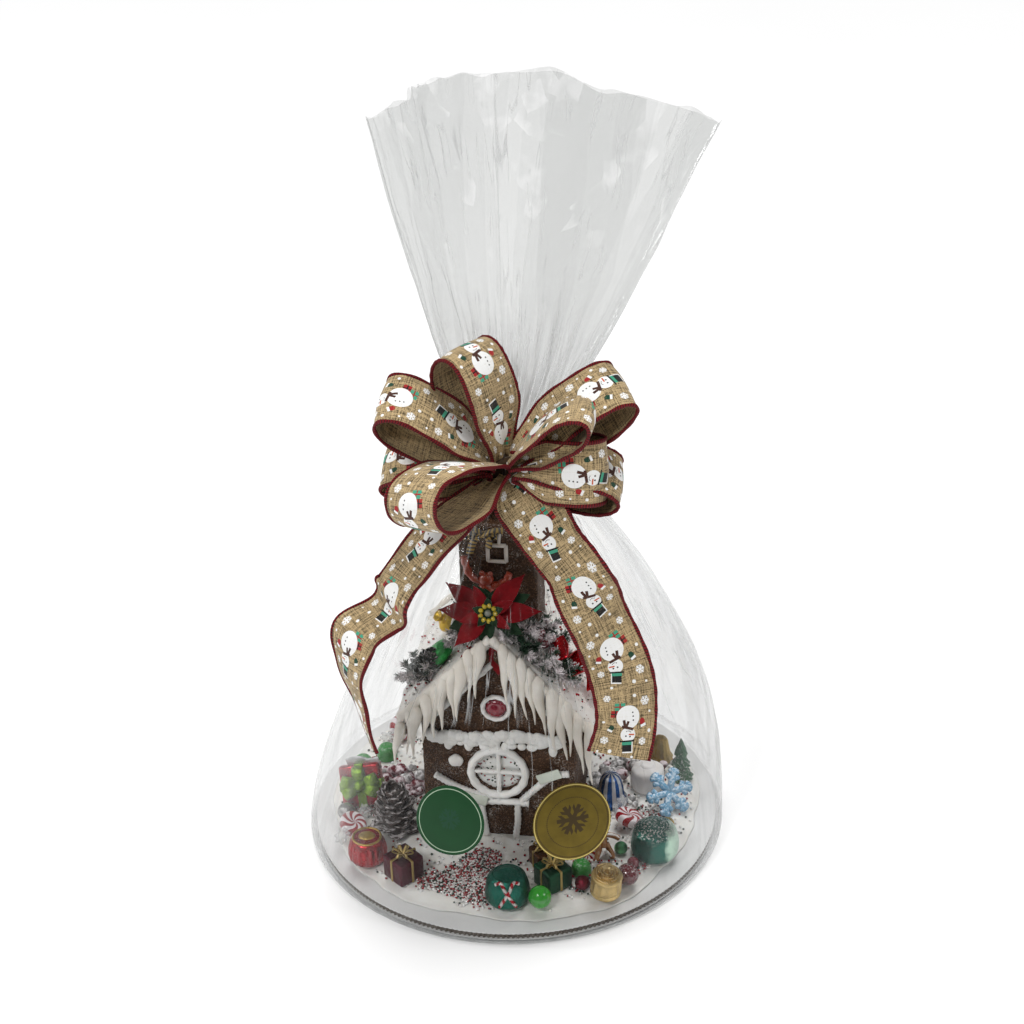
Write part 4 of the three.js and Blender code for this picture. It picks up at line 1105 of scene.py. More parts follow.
def sprig(seed):
    """Twig along Z with needles all round it."""
    length, spread, needles = 14, 8, 70
    pick = random.Random(seed)
    body = Body(tube([vec(0, 0, 0), vec(0, 0.5, length / 2), vec(0.5, 0, length)], 0.7, 6))
    for _ in range(needles):
        s = pick.random()
        root = vec(0, 0, s * length)
        turn, rise = TAU * pick.random(), pick.uniform(0.2, 1.0)
        long = spread * pick.uniform(0.7, 1.0) * mix(1, 0.6, s)
        tip = root + vec(cos(turn) * cos(rise), sin(turn) * cos(rise), sin(rise)) * long
        body.add(tube([root, root.lerp(tip, 0.5), tip], lambda s, a: mix(0.6, 0.2, s), 4))
    return body


def gumdrop(radius):
    top = 1.55 * radius
    profile = [
        (0.1, 0), (0.86 * radius, 0), (radius, 0.25 * radius), (0.86 * radius, 0.68 * top),
        (0.5 * radius, 0.95 * top), (0.1, top)
    ]
    body = Body(lathe(profile, 36))
    return body.move(lambda p: p + 0.25 * vec(rough(p, 4), rough(p, 4, 2), 0.5 * rough(p, 4, 5)))


def crumpled(shape, amount=0.35, size=3.0):
    """Foil pressed on by hand."""
    body = shape if isinstance(shape, Body) else Body().add(shape)
    return body.move(lambda p: p + amount * vec(rough(p, size), rough(p, size, 3), 0.6 * rough(p, size, 6)))


def build_roof_sweets():
    stick = Body(tube(spline([(0, -10, 4), (0, 0, 4.4), (0, 12, 4)], 8), 3.9, 20))
    for k in range(5):
        stripe = [(-3, -8 + 4 * k, 7), (0, -6.5 + 4 * k, 8.6), (3, -5 + 4 * k, 7)]
        stick.add(tube(spline(stripe, 4), 0.9, 8), skin=1)
    tail = spline([(0, 11, 4), (1, 15, 4), (-1, 17, 5)], 4)
    stick.add(tube(tail, lambda s, a: mix(1, 3.4, s) * (1 + 0.3 * sin(6 * a)), 24), skin=1)
    green = foil("foil_stick", (0.02, 0.20, 0.11))
    stand_in(
        "stick_sweet", stick.turned(on_roof(-1, 29, 42)), [green, icing("stick_stripe", (0.8, 0.8, 0.78))],
        "roof_stick"
    )
    bright = foil("foil_green", (0.02, 0.34, 0.06), 2.5)
    drop = crumpled(lathe([(0.1, 0), (8.4, 0), (11.2, 4.4), (8, 10), (0.1, 11.6)], 48), 1.3, 4)
    stand_in("green_foil_sweet", drop.turned(on_roof(-1, 38, 10)), bright, "roof_foil_green")
    cone = pine_cone(10.5, 27, 46, 3).turned(shifted(4, 2, 6) @ about("Y", 78))
    stand_in(
        "small_cone", cone.turned(on_roof(-1, 56, 0)),
        frosted("cone_frosted", (0.06, 0.06, 0.05), (0.5, 0.52, 0.52)), "roof_cone"
    )
    berries = Body()
    for x, y, r in (
        (0, 0, 4.6), (2, 8.4, 4.2), (8, 3, 3.6), (-5, 6, 3.2), (12, 12, 3.6), (-8, 16, 3.4), (4, 20, 3.8),
        (17, 4, 3.0)
    ):
        berries.add(ball((x, y, r), r, 3))
    stand_in(
        "berries", berries.turned(on_roof(1, 25, 16)),
        frosted("berry", (0.14, 0.012, 0.02), (0.66, 0.6, 0.62), -0.4, 0.9), "roof_berries"
    )
    pine = Body()
    spots = [
        (1, 33, 0), (1, 18, 20), (1, 46, 8), (1, 30, 34), (1, 20, -4), (1, 40, 30), (1, 9, -6),
        (-1, 12, -4), (-1, 22, 8), (-1, 62, 24), (-1, 44, 2)
    ]
    for k, (x, y, turn, lean) in enumerate(
        ((0, 0, 0, 60), (2, 3, 80, 50), (-2, -2, 160, 62), (1, -3, 250, 45), (0, 0, 310, 20))
    ):
        twig = sprig(k)
        for j, spot in enumerate(spots):
            aim = about("Z", turn + 40 * j) @ about("Y", lean)
            pine.take(twig, on_roof(*spot) @ shifted(x, y, 1) @ aim)
    stand_in(
        "pine_sprigs", pine,
        frosted("pine_frosted", (0.010, 0.045, 0.018), (0.84, 0.77, 0.79), -1.4, -0.4, patch=11),
        "roof_pine_sprig"
    )
    bends = [(k * 4 - 34, (9, 0, -9, 0)[k % 4], 9 + (0, 2.4, 0, -2.4)[k % 4]) for k in range(19)]
    line = spline(bends, 6)
    rings = []
    for k, p in enumerate(line):
        flat = vec(0.25, 0, 1).normalized() * 5
        along = (line[min(k + 1, len(line) - 1)] - line[max(k - 1, 0)]).normalized()
        skin = along.cross(flat).normalized() * 0.35
        rings.append(
            [p + flat + skin, p + skin, p - flat + skin, p - flat - skin, p - skin, p + flat - skin]
        )
    stand_in(
        "foil_ribbon", Body(loft(rings)).turned(on_roof(1, 58, 20)),
        foil("foil_ribbon_red", (0.55, 0.012, 0.02), 5, 0.16), "roof_ribbon_candy", sharp=50
    )


def build_chimney_trim():
    face = CHIMNEY_SET_BACK - CHIMNEY_HALF_DEPTH - GAP
    knot = vec(-10, face - 4, CHIMNEY_TOP - 3)
    body = Body()
    for out, up, lift in ((-15, -3, 5), (15, 3, 5), (-13, 3, 8), (11, -2, 7)):
        loop = [
            (0, 0, 0), (out * 0.6, -lift * 0.3, up * 0.6 + lift * 0.5), (out, 0, up),
            (out * 0.5, 1, up * 0.5 - lift * 0.45), (0, 0, 0)
        ]
        body.add(strip(spline([knot + Vector(p) for p in loop], 8), (0, 1, 0), 6, 0.4, 0.12))
    for tail, across, width in (
        ([(-6, -1, -7), (-9, 0, -17)], (1, 0.3, 0), 5.5), ([(5, -1, -5), (4, 0, -12)], (1, -0.3, 0), 5)
    ):
        line = spline([knot, *(knot + Vector(p) for p in tail)], 8)
        body.add(strip(line, across, width, 0.4, 0.12))
    gold = striped("bow_gold", (0.45, 0.28, 0.03), (0.02, 0.016, 0.012), 3.0, 0.3, 0.4)
    stand_in("chimney_ribbon", body.turned(HOUSE), gold, "chimney_bow")

    hip = vec(-8, face - 5.4, CHIMNEY_TOP - 49)
    body = Body(ball(hip, (6.2, 4.6, 7.0), 3)).add(ball(hip + vec(0.5, -0.5, 10), (5.2, 4.2, 5.0), 3))
    for steps, width in (
        ([(0, 6), (-7, 9), (-12, 14), (-14, 21), (-15, 27)], 2.7),
        ([(0, 3), (7, 5), (14, 9), (17, 15)], 2.5), ([(-1, 0), (-6, -5), (-9, -11)], 2.9),
        ([(1, 0), (4, -6), (6, -14)], 2.8)
    ):
        body.add(tube(spline([hip + vec(du, 0, dv) for du, dv in steps], 6), wobbly(width, 4, 0.12), 14))
    for ear in ((-2.5, -1, 15), (3.5, -1, 14.6)):
        body.add(ball(hip + Vector(ear), 1.9))
    stand_in(
        "jelly_figure", body.turned(HOUSE), gloss("jelly_orange", (0.40, 0.045, 0.014), 0.25, dust=0.3),
        "chimney_figure"
    )

    level = CHIMNEY_TOP - 20
    body = Body()
    square = [(-6.5, -6.5), (6.5, -6.5), (6.5, 6.5), (-6.5, 6.5)]
    for k in range(4):
        (a, b), (c, d) = square[k], square[(k + 1) % 4]
        run = ((a, 1.5, b), ((a + c) / 2, 1.7, (b + d) / 2), (c, 1.5, d))
        body.add(tube([vec(u, face - w, level + v) for u, w, v in run], 1.45, 10))
    cord = ((1.5, 1.4, 8), (2, 1.5, 13), (2.5, 1.4, 18))
    body.add(tube([vec(u, face - w, level + v) for u, w, v in cord], 1.2, 10))
    stand_in("icing_square", body.turned(HOUSE), icing("icing_square", (0.66, 0.62, 0.58)), "chimney_frame")


def strip(line, across, width, thick, curl):
    """Flat band along a line, with a cloth coordinate: centimetres along it, and -1 to 1 across."""
    cells = 6
    across = Vector(across).normalized()
    rings, cloth, run = [], [], 0.0
    for k, p in enumerate(line):
        along = (line[min(k + 1, len(line) - 1)] - line[max(k - 1, 0)]).normalized()
        flat = (across - along * across.dot(along)).normalized()
        face = along.cross(flat)
        run += (p - line[k - 1]).length if k else 0
        ring = []
        for side in (1, -1):
            for j in range(cells + 1):
                s = side * (2 * j / cells - 1)
                ring.append(
                    p + flat * (s * width / 2) + face * (side * thick / 2 - curl * s * s * width / 2)
                )
                cloth.append((run / 10, s))
        rings.append(ring)
    points, faces = loft(rings)
    return points, faces, cloth + [(0, 0), (run / 10, 0)]


# ---------------------------------------------------------------- sweets on the icing
def wheel(profile, sides, bands, twist=0.0):
    """Solid of revolution in two skins by turns, which swirl by twist degrees to its middle."""
    points, faces = lathe(profile, sides)
    reach = max(math.hypot(p.x, p.y) for p in points)
    body = Body(([about("Z", twist * (1 - math.hypot(p.x, p.y) / reach)) @ p for p in points], faces))
    body.skins = [(min(face) % sides) * 2 * bands // sides % 2 for face in faces]
    return body


def bow_loops(reach, width, headings, rise=0.55):
    """Small bow: a loop for each heading round a knot."""
    body = Body()
    for heading in headings:
        out = vec(cos(rad(heading)), sin(rad(heading)), 0)
        flat = vec(-out.y, out.x, 0)
        steps = (
            (0, 0.3), (0.6 * reach, rise * reach), (reach, 0.5 * rise * reach), (0.6 * reach, 0.5), (0, 0.2)
        )
        line = [out * away + vec(0, 0, up) for away, up in steps]
        body.add(strip(spline(line, 7), flat, width, 0.35, 0.15))
    body.add(ball((0, 0, width * 0.3), (width * 0.5, width * 0.5, width * 0.45), 3))
    return body


def present(size, height):
    """Foil-wrapped box, its elastic bands and its bow, in two skins."""
    half = size / 2
    body = crumpled(finer(box((-half, -half, 0), (half, half, height), 1.8, 3), 3), 0.28, 4.0)
    for x, y in ((0.9, half + 0.6), (half + 0.6, 0.9)):
        body.add(box((-x, -y, 0.6), (x, y, height + 0.5), 0.4), skin=1)
    return body.take(bow_loops(8, 1.7, (20, 75, 130, 200, 255, 310)), shifted(0, 0, height + 0.4), skin=1)


def finer(shape, cuts):
    """The same shape with each face cut smaller."""
    bm = bmesh.new()
    verts = [bm.verts.new(p) for p in shape[0]]
    for face in shape[1]:
        bm.faces.new([verts[k] for k in face])
    long = [e for e in bm.edges if e.calc_length() > 4]
    bmesh.ops.subdivide_edges(bm, edges=long, cuts=cuts, use_grid_fill=True)
    return shape_of(bm)


def mint(radius, thick, bands):
    """Starlight mint: red and white sectors swirling to the middle."""
    profile = [
        (0.1, thick * 0.12), (radius * 0.55, 0.05 * thick), (radius * 0.9, thick * 0.12),
        (radius, thick * 0.5), (radius * 0.9, thick * 0.88), (radius * 0.55, 0.95 * thick),
        (0.1, thick * 0.86)
    ]
    return wheel(profile, 16 * bands, bands, 70)


def film_twist(radius, thick, side):
    """Gathered end of a sweet's wrapper, fanning out."""
    line = [
        vec(side * radius * s, 0, thick / 2 + 1.5 * (s - 0.8)) for s in (0.86, 0.98, 1.1, 1.25, 1.42, 1.62)
    ]

    def width(s, a):
        wide = mix(3.4, 1.6, ramp(s, 0, 0.35)) + 6.0 * ramp(s, 0.35, 1)
        return wide * (0.4 + 0.6 * abs(cos(a))) * (1 + 0.16 * sin(9 * a))

    return tube(line, width, 40)


def show_mint(node, turn, tilt):
    """A mint and, as a piece of its own, the two gathered ends of its wrapper."""
    radius, thick = 10.5, 9
    body = mint(radius, thick, 7)
    disc, faces = len(body.points), len(body.faces)
    for side in (-1, 1):
        body.add(film_twist(radius, thick, side))
    settle(node, body, turn, tilt)
    wrap = Body((body.points[disc:], [tuple(k - disc for k in face) for face in body.faces[faces:]]))
    for part in ("points", "cloth"):
        setattr(body, part, getattr(body, part)[:disc])
    for part in ("faces", "skins"):
        setattr(body, part, getattr(body, part)[:faces])
    stand_in(node + "_sweet", body, [gloss(node + "_white", (0.78, 0.72, 0.74)), LOOKS["mint_red"]], node)
    stand_in(node + "_wrap", wrap, LOOKS["wrapper"], node)


def foil_cup(radius, height, top=0.7, dent=None, lip=0.0):
    profile = [
        (0.1, 0), (0.78 * radius, 0), (0.95 * radius, 0.08 * height), (radius, 0.25 * height),
        (0.97 * radius, 0.55 * height)
    ]
    profile += [
        (0.86 * radius, 0.8 * height), (top * radius, 0.93 * height),
        (top * radius * 0.93, 0.93 * height + lip), (0.3 * radius, height), (0.1, height)
    ]
    return lathe(profile, 96, dent)


def bell(radius, height, ribs, depth):
    """Ribbed bell with a flared lip."""
    profile = [
        (0.1, 0), (0.8, 0), (1, 0.06), (0.96, 0.16), (0.78, 0.3), (0.68, 0.6), (0.56, 0.84), (0.3, 0.97),
        (0.1, 1)
    ]
    profile = [(0.1 if r == 0.1 else r * radius, z * height) for r, z in profile]
    return lathe(profile, 96, lambda a, z: 1 + depth * sin(ribs * a))


def cane(line, radius):
    """Candy cane along a line, banded in two skins."""
    sides, bands = 12, 5
    body = Body(tube(line, radius, sides))
    for i, face in enumerate(body.faces):
        ring, side = divmod(min(face), sides)
        body.skins[i] = int((ring / len(line) * bands + side / sides) * 2) % 2
    return body


def build_presents():
    gold = LOOKS["elastic"]
    for node, size, height, turn, colour, crease in (
        ("gift_maroon", 21.5, 19, 40, (0.075, 0.006, 0.016), 5),
        ("gift_brown", 17, 14.5, 25, (0.085, 0.035, 0.012), 4),
        ("gift_green", 20.5, 17.5, 35, (0.008, 0.06, 0.026), 5)
    ):
        body = settle(node, present(size, height), turn)
        stand_in(node + "_box", body, [foil("foil_" + node, colour, crease, 0.3), gold], node)

    flat = crumpled(finer(box((-16, -16, 0), (16, 16, 10), 2.4, 3), 4), 0.3, 6)
    for x, y in ((3.4, 16.5), (16.5, 3.4)):
        flat.add(box((-x, -y, 0.5), (x, y, 10.6), 0.5), skin=1)
    flat.take(bow_loops(15, 9, (20, 160, 205, 335, 90), 0.4), shifted(0, 0, 10.4), skin=1)
    flat.turned(about("Z", 12))
    crimp = spline([(-12, 14, 6), (-4, 17, 7), (4, 16, 6.5), (13, 18, 7.5)], 8)
    flat.add(strip(crimp, (0, 0.9, 0.35), 10, 0.4, 0.1), skin=2)
    red = foil("foil_flat_red", (0.36, 0.012, 0.02), 6, 0.2)
    lime = foil("foil_lime", (0.20, 0.34, 0.025), 3, 0.3)
    silver = foil("crimp_silver", (0.55, 0.55, 0.55), 2, 0.3)
    set_down("flat_present", "gift_flat", flat, [red, lime, silver], -12, 62)


def build_foil_sweets():
    fluted = lambda a, z: 1 + (0.035 * sin(18 * a) if 2 < z < 16 else 0)
    red = foil("foil_choc_red", (0.34, 0.012, 0.018), 4, 0.2)
    gold = foil("foil_streak_gold", (0.52, 0.34, 0.08), 3, 0.25)
    silver = foil("foil_pale", (0.62, 0.6, 0.58), 3, 0.3)
    body = crumpled(foil_cup(14, 20, 0.72, fluted, 0.6), 0.25, 3)
    body.add(tube(around(10.2, 19.3, 48), 0.9, 8, closed=True), skin=1)
    body.add(ball((0, 0, 19.8), (6.4, 5.2, 1.8), 3), skin=1)
    set_down("red_chocolate", "choc_red", body, [red, gold])

    teal = foil("foil_teal", (0.012, 0.12, 0.085), 5, 0.25)
    body = crumpled(foil_cup(16, 24.5, 0.66), 0.45, 5)
    for side in (-1, 1):
        hook = [
            (-6 * side, -15.9, 5), (-2.5 * side, -15.9, 11), (1.5 * side, -14.6, 17.5),
            (4.5 * side, -11.2, 22.4), (8.5 * side, -10.4, 21)
        ]
        body.take(cane(spline(hook, 8), 1.35), skin=1)
    set_down("teal_bell", "bell_teal", body, [teal, silver, red])

    dome = crumpled(foil_cup(17.5, 26.5, 0.6), 0.5, 5)
    # The side of the dome towards positive X is paler: a painted highlight.
    mint_foil = foil("foil_teal_frosted", (0.01, 0.115, 0.085), 4, 0.25, 0.75, pale_side_highlight)
    set_down("teal_dome", "dome_teal", dome, mint_foil)

    drum = lathe(
        [(0.1, 0), (9.6, 0), (11.2, 2), (10.6, 4), (11.2, 6), (10.8, 14), (11.4, 16), (9.4, 18), (0.1, 18)],
        72, lambda a, z: 1 + (0.04 * sin(12 * a) if 5 < z < 15 else 0)
    )
    body = crumpled(drum, 0.2, 3)
    for k in range(13):
        r = 1.6 + 0.62 * k
        span = mix(150, 62, k / 12)
        arc = [
            vec(r * cos(rad(a)), r * sin(rad(a)), 19.5 - 0.22 * k)
            for a in (mix(-span / 2, span / 2, j / 10) for j in range(11))
        ]
        body.add(strip(arc, (0, 0, 1), 5.2, 0.5, -0.35), about("Z", 137.5 * k), skin=1)
    pale = foil("foil_rose_gold", (0.62, 0.45, 0.19), 3, 0.28)
    petals = foil("foil_rose_petal", (0.78, 0.60, 0.30), 3, 0.25)
    set_down("rose_chocolate", "rose_gold", body, [pale, petals], 30, 8)

    profile = [
        (0.1, 0), (10.4, 0), (13, 1.6), (12.5, 4.3), (10.4, 8), (9.2, 16), (7.4, 22.6), (4, 26.2), (0.1, 27)
    ]
    body = crumpled(wheel(profile, 96, 9), 0.3, 4)
    blue = foil("foil_blue", (0.02, 0.085, 0.28), 4, 0.25)
    set_down("blue_bell", "bell_blue", body, [blue, foil("foil_white", (0.66, 0.67, 0.7), 4, 0.3)], 10)
    body = crumpled(bell(10, 21.5, 14, 0.03), 0.3, 3)
    set_down("gold_bell", "bell_gold", body, foil("foil_old_gold", (0.34, 0.23, 0.06), 3, 0.3))

    tree = Body()
    for foot, reach, top in ((0, 9.5, 15), (11, 7.2, 24), (21, 5.0, 35.5)):
        middle, neck = (reach * 0.7, mix(foot, top, 0.35)), (reach * 0.32, mix(foot, top, 0.75))
        profile = [(0.1, foot + 1.2), (reach * 0.8, foot + 0.6), (reach, foot), middle, neck, (0.1, top)]
        tree.add(lathe(profile, 64, lambda a, z: 1 + 0.08 * sin(9 * a + z)))
    set_down(
        "foil_tree", "tree_right", crumpled(tree, 0.4, 3),
        foil("foil_tree_green", (0.012, 0.09, 0.03), 3, 0.3, 0.7)
    )


def build_gumdrops():
    for node, radius, colour in (
        ("gumdrop_front", 7.5, (0.03, 0.27, 0.035)), ("gumdrop_left_1", 8, (0.03, 0.25, 0.04)),
        ("gumdrop_left_2", 8, (0.03, 0.25, 0.04)), ("gumdrop_back", 8.5, (0.34, 0.02, 0.028)),
        ("gumdrop_ruby", 4.5, (0.16, 0.008, 0.02))
    ):
        body = settle(node, gumdrop(radius))
        stand_in(node + "_jelly", body, gloss("jelly_" + node, colour, 0.3, dust=0.45), node)
    for node, radius, colour, dust in (
        ("gumball_green", 8.5, (0.03, 0.33, 0.02), 0.0), ("gumball_red", 8, (0.11, 0.006, 0.012), 0.5)
    ):
        body = Body(ball((0, 0, 0), radius, 4)).move(lambda p: p * (1 + 0.02 * rough(p, 6)))
        set_down(node + "_ball", node, body, gloss("shell_" + node, colour, 0.08, dust=dust))
    body = crumpled(ball((0, 0, 0), 5.5, 4), 0.25, 2)
    set_down("maroon_ball", "ball_maroon", body, foil("foil_maroon", (0.14, 0.01, 0.02), 2.5))
    powder = Body(foil_cup(13, 21.5, 0.5)).move(lambda p: p * (1 + 0.05 * rough(p, 6)))
    set_down("sugar_ball", "snowball", powder, icing("sugar_ball", (0.76, 0.74, 0.73), specks=0.05))


def build_snowflake():
    """Six arms, each with two pairs of branches, round a hub."""
    thick = 3.2
    body = Body()
    for k in range(6):
        turn = about("Z", 60 * k)
        body.add(
            tube(
                [turn @ vec(x, 0, thick / 2) for x in (0, 8, 14, 18.6)],
                lambda s, a: mix(2.7, 2.4, s) * (1 + 0.05 * sin(3 * a)), 14
            )
        )
        for x, long in ((9.5, 6.0), (14.6, 4.4)):
            for side in (-1, 1):
                root = vec(x, 0, thick / 2)
                tip = vec(x + long * cos(rad(55)), side * long * sin(rad(55)), thick / 2)
                body.add(tube([turn @ root, turn @ ((root + tip) / 2), turn @ tip], 1.9, 12))
    body.add(lathe([(0.1, 0), (4, 0), (5.4, thick / 2), (4, thick), (0.1, thick + 0.4)], 6, smooth=2))
    flake = settle("snowflake", body, 24, 52)
    sugar = frosted("sugar_blue", (0.16, 0.42, 0.66), (0.70, 0.80, 0.88), -0.2, 1.1)
    stand_in("snowflake_sugar", flake, sugar, "snowflake")


def build_cookie():
    """Baked figure with piped lines and beads."""
    body = Body()
    for line, r in (
        ([(0, 26, 2.6), (0, 18, 2.6), (0, 11, 2.6)], 5.6),
        ([(0, 20, 2.6), (-7, 18.5, 2.6), (-12, 15.5, 2.6)], 3.6),
        ([(0, 20, 2.6), (7, 18.5, 2.6), (12, 15.5, 2.6)], 3.6),
        ([(-2.5, 13, 2.6), (-4.5, 7, 2.6), (-6, 2, 2.6)], 3.9),
        ([(2.5, 13, 2.6), (4.5, 7, 2.6), (6, 2, 2.6)], 3.9)
    ):
        body.add(tube(spline(line, 6), lambda s, a, r=r: r * (1 - 0.45 * abs(sin(a))), 24))
    body.add(ball((0, 29, 2.4), (6.6, 6.6, 3.1), 3))
    piping = [
        [(-13, 14, 5), (-10, 18, 5.2), (-4, 20.5, 5.8), (4, 20.5, 5.8), (10, 18, 5.2), (13, 14, 5)],
        [(-7.5, 2, 5), (-4, 4.5, 5.2), (-1.5, 8, 5.4)], [(7.5, 2, 5), (4, 4.5, 5.2), (1.5, 8, 5.4)],
        [(-3, 27, 5.4), (0, 25.6, 5.6), (3, 27, 5.4)]
    ]
    for line in piping:
        body.add(tube(spline(line, 6), wobbly(0.85, 5), 8), skin=1)
    for x, y in ((-2.3, 31), (2.3, 31), (0, 17), (0, 13)):
        body.add(ball((x, y, 5.4), 1.0), skin=1)
    body.move(lambda p: p + 0.25 * vec(rough(p, 5), rough(p, 5, 3), rough(p, 4, 6)))
    dough = frosted("cookie_dough", (0.34, 0.15, 0.055), (0.62, 0.52, 0.42), 0.2, 1.2, 0.3)
    set_down("cookie", "cookie_figure", body, [dough, icing("cookie_icing", (0.82, 0.8, 0.78))], 12, 64)


def build_pine_cone():
    cone = pine_cone(20, 44, 46, 8, 1.35).turned(about("X", 6))
    bark = frosted("cone_bark", (0.07, 0.05, 0.042), (0.56, 0.52, 0.52), -0.1, 0.9, patch=3)
    set_down("big_cone", "pine_cone", cone, bark)


STANDING = (
    "gift_flat", "mint_left", "pine_cone", "choc_red", "gift_maroon", "bell_teal", "gift_brown",
    "gift_green", "gumball_green", "ball_maroon", "gumdrop_front", "rose_gold", "gumball_red",
    "cookie_figure", "gumdrop_ruby", "dome_teal", "snowflake", "mint_right", "snowball", "bell_blue",
    "bell_gold", "tree_right", "gumdrop_left_1", "gumdrop_left_2", "mint_back_left", "gumdrop_back"
)


def clear_of(x, y, reach):
    """True where no sweet of the row stands on the icing."""
    for node in STANDING:
        low, high = (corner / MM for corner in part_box(node))
        gap = math.hypot(x - min(max(x, low.x), high.x), y - min(max(y, low.y), high.y))
        if gap < reach:
            return False
    near = from_house(vec(x, y, 0))
    return not (abs(near.x) < WALL_HALF_WIDTH + reach and -reach < near.y < HOUSE_DEPTH + reach)


def build_sugar_rocks():
    """Sugared rocks and berries heaped to the right and left of the house."""
    pick = random.Random(12)
    white, pink = Body(), Body()
    right, left = (92, 4), (-92, 14)
    for body, center, spread, count in (
        (white, right, 34, 90), (pink, right, 34, 26), (pink, left, 22, 44), (white, left, 22, 20)
    ):
        for k in range(count):
            x, y = spot_in(pick, center, spread)
            size = pick.uniform(2.4, 5.2)
            if math.hypot(x, y) > 126 or not clear_of(x, y, size):
                continue
            rock = ball((0, 0, 0), (size, size * pick.uniform(0.7, 1), size * pick.uniform(0.7, 1)), 3)
            lump = Body(rock).move(lambda p: p * (1 + 0.16 * rough(p, 2.5, k)))
            body.take(lump, shifted(x, y, ground_height(x, y) + 0.7 * size + 5 * pick.random() ** 3))
    show(
        "sugar_rocks", white,
        frosted("rock_white", (0.34, 0.33, 0.32), (0.82, 0.80, 0.80), -0.9, 0.3, patch=3)
    )
    show(
        "sugar_berries", pink,
        frosted("rock_pink", (0.16, 0.016, 0.026), (0.78, 0.68, 0.71), -0.9, 0.7, patch=4)
    )


def build_loose_sweets():
    """Small sweets that lie on the icing beside the larger ones."""
    sweets = {
        "silver_ball": (
            foil("foil_silver", (0.35, 0.34, 0.33), 3, 0.12), ball((-128, -22, FLOOR + 6.5), 6.8, 4)
        ),
        "green_stripe_sweet": (
            foil("foil_green_pale", (0.1, 0.42, 0.16), 3), ball((76, -74, FLOOR + 5), (5, 4.6, 5), 3)
        ),
        "gold_ornament": (
            foil("foil_ornament", (0.45, 0.3, 0.08), 3), ball((112, -46, FLOOR + 4.6), (5.4, 4.8, 4.8), 3)
        ),
        "red_drop": (
            gloss("shell_red", (0.3, 0.012, 0.02), 0.1), ball((92, -60, FLOOR + 4.2), (4.6, 4.6, 4.4), 3)
        )
    }
    for name, (material, shape) in sweets.items():
        show(name, crumpled(shape, 0.2, 3), material)
    gold = crumpled(
        lathe([(0.1, 0), (6.5, 0), (8.4, 3.6), (6.2, 9), (2, 11), (4.5, 15), (0.1, 14)], 40), 1.2, 4
    )
    gold.turned(on_roof(-1, 40, 58) @ about("X", 20))
    show("gold_foil_sweet", gold, foil("foil_toffee", (0.62, 0.40, 0.05), 3))
    swirl = mint(7.5, 5.5, 6).turned(shifted(50, -76, FLOOR + 2.5) @ about("Z", 12) @ about("X", 66))
    show(
        "peppermint", swirl, [gloss("peppermint_white", (0.8, 0.77, 0.76)), LOOKS["mint_red"]]
    )


# ---------------------------------------------------------------- sprinkles
NONPAREIL_RADIUS = 1.05
PATH_BEADS, LOOSE_BEADS, ROOF_BEADS = 3300, 1500, 520


def scattered(name, places, material, size):
    """One piece of many nonpareils or chips, each a small ball at true size."""
    pick = random.Random(len(name))
    body = Body()
    for at in places:
        r = size * pick.uniform(0.8, 1.15)
        body.add(ball(at, (r, r, r * pick.uniform(0.75, 1)), 1))
    show(name, body, material)


def build_sprinkles():
    """Red, green and white nonpareils on the path to the door, thinner elsewhere."""
    pick = random.Random(7)
    kinds = {"red": [], "green": [], "white": [], "chips": []}

    def drop(x, y, lift=0.0, z=None):
        share = pick.random()
        kind = "red" if share < 0.32 else "green" if share < 0.55 else "white"
        level = ground_height(x, y) if z is None else z
        kinds[kind].append(vec(x, y, level + 0.7 + lift))

    top, foot = vec(-19, -66), vec(-46, -118)
    across = vec(foot.y - top.y, top.x - foot.x).normalized()
    for _ in range(PATH_BEADS):
        s = pick.random() ** 0.8
        off = (pick.random() + pick.random() - 1) * mix(15, 44, s) * 0.72
        spot = top.lerp(foot, s) + across * off
        drop(spot.x, spot.y, 1.3 * pick.random() * (pick.random() ** 2))
    for k in range(LOOSE_BEADS):
        x, y = spot_in(pick, (0, 0), 133)
        near = from_house(vec(x, y, 0))
        if abs(near.x) < WALL_HALF_WIDTH and 0 < near.y < HOUSE_DEPTH:
            continue
        drop(x, y)
        if k % 2:
            kinds["chips"].append(vec(x + 3, y - 2, ground_height(x + 3, y - 2) + 0.9))
    for *center, spread, count in (
        (-62, -98, 12, 150), (52, -100, 20, 260), (96, -92, 12, 120), (-104, -12, 14, 160),
        (98, -30, 14, 160), (104, 24, 12, 120)
    ):
        for _ in range(count):
            x, y = spot_in(pick, center, spread)
            if math.hypot(x, y) < 132:
                drop(x, y, 1.5 * pick.random())
    for _ in range(ROOF_BEADS):
        side, down, w = pick.choice((-1, 1)), pick.uniform(4, ROOF_REACH), pick.uniform(-8, 108)
        at = on_roof(side, down, w, -1.2) @ vec(0, 0, 0)
        drop(at.x, at.y, 0, at.z)
    colours = {"red": (0.30, 0.010, 0.018), "green": (0.008, 0.035, 0.02), "white": (0.78, 0.76, 0.74)}
    for kind, colour in colours.items():
        scattered("sprinkles_" + kind, kinds[kind], gloss("sprinkle_" + kind, colour), NONPAREIL_RADIUS)
    scattered("sugar_chips", kinds["chips"], icing("sugar_chip", (0.86, 0.85, 0.84)), 1.3)


# ---------------------------------------------------------------- the bag
BODY_SIDES, BODY_RINGS = 390, 120
FAN_SIDES, FAN_RINGS = 560, 88


def swell(height, power, ease):
    return (1 - min(1, height / NECK_HEIGHT) ** power) ** ease


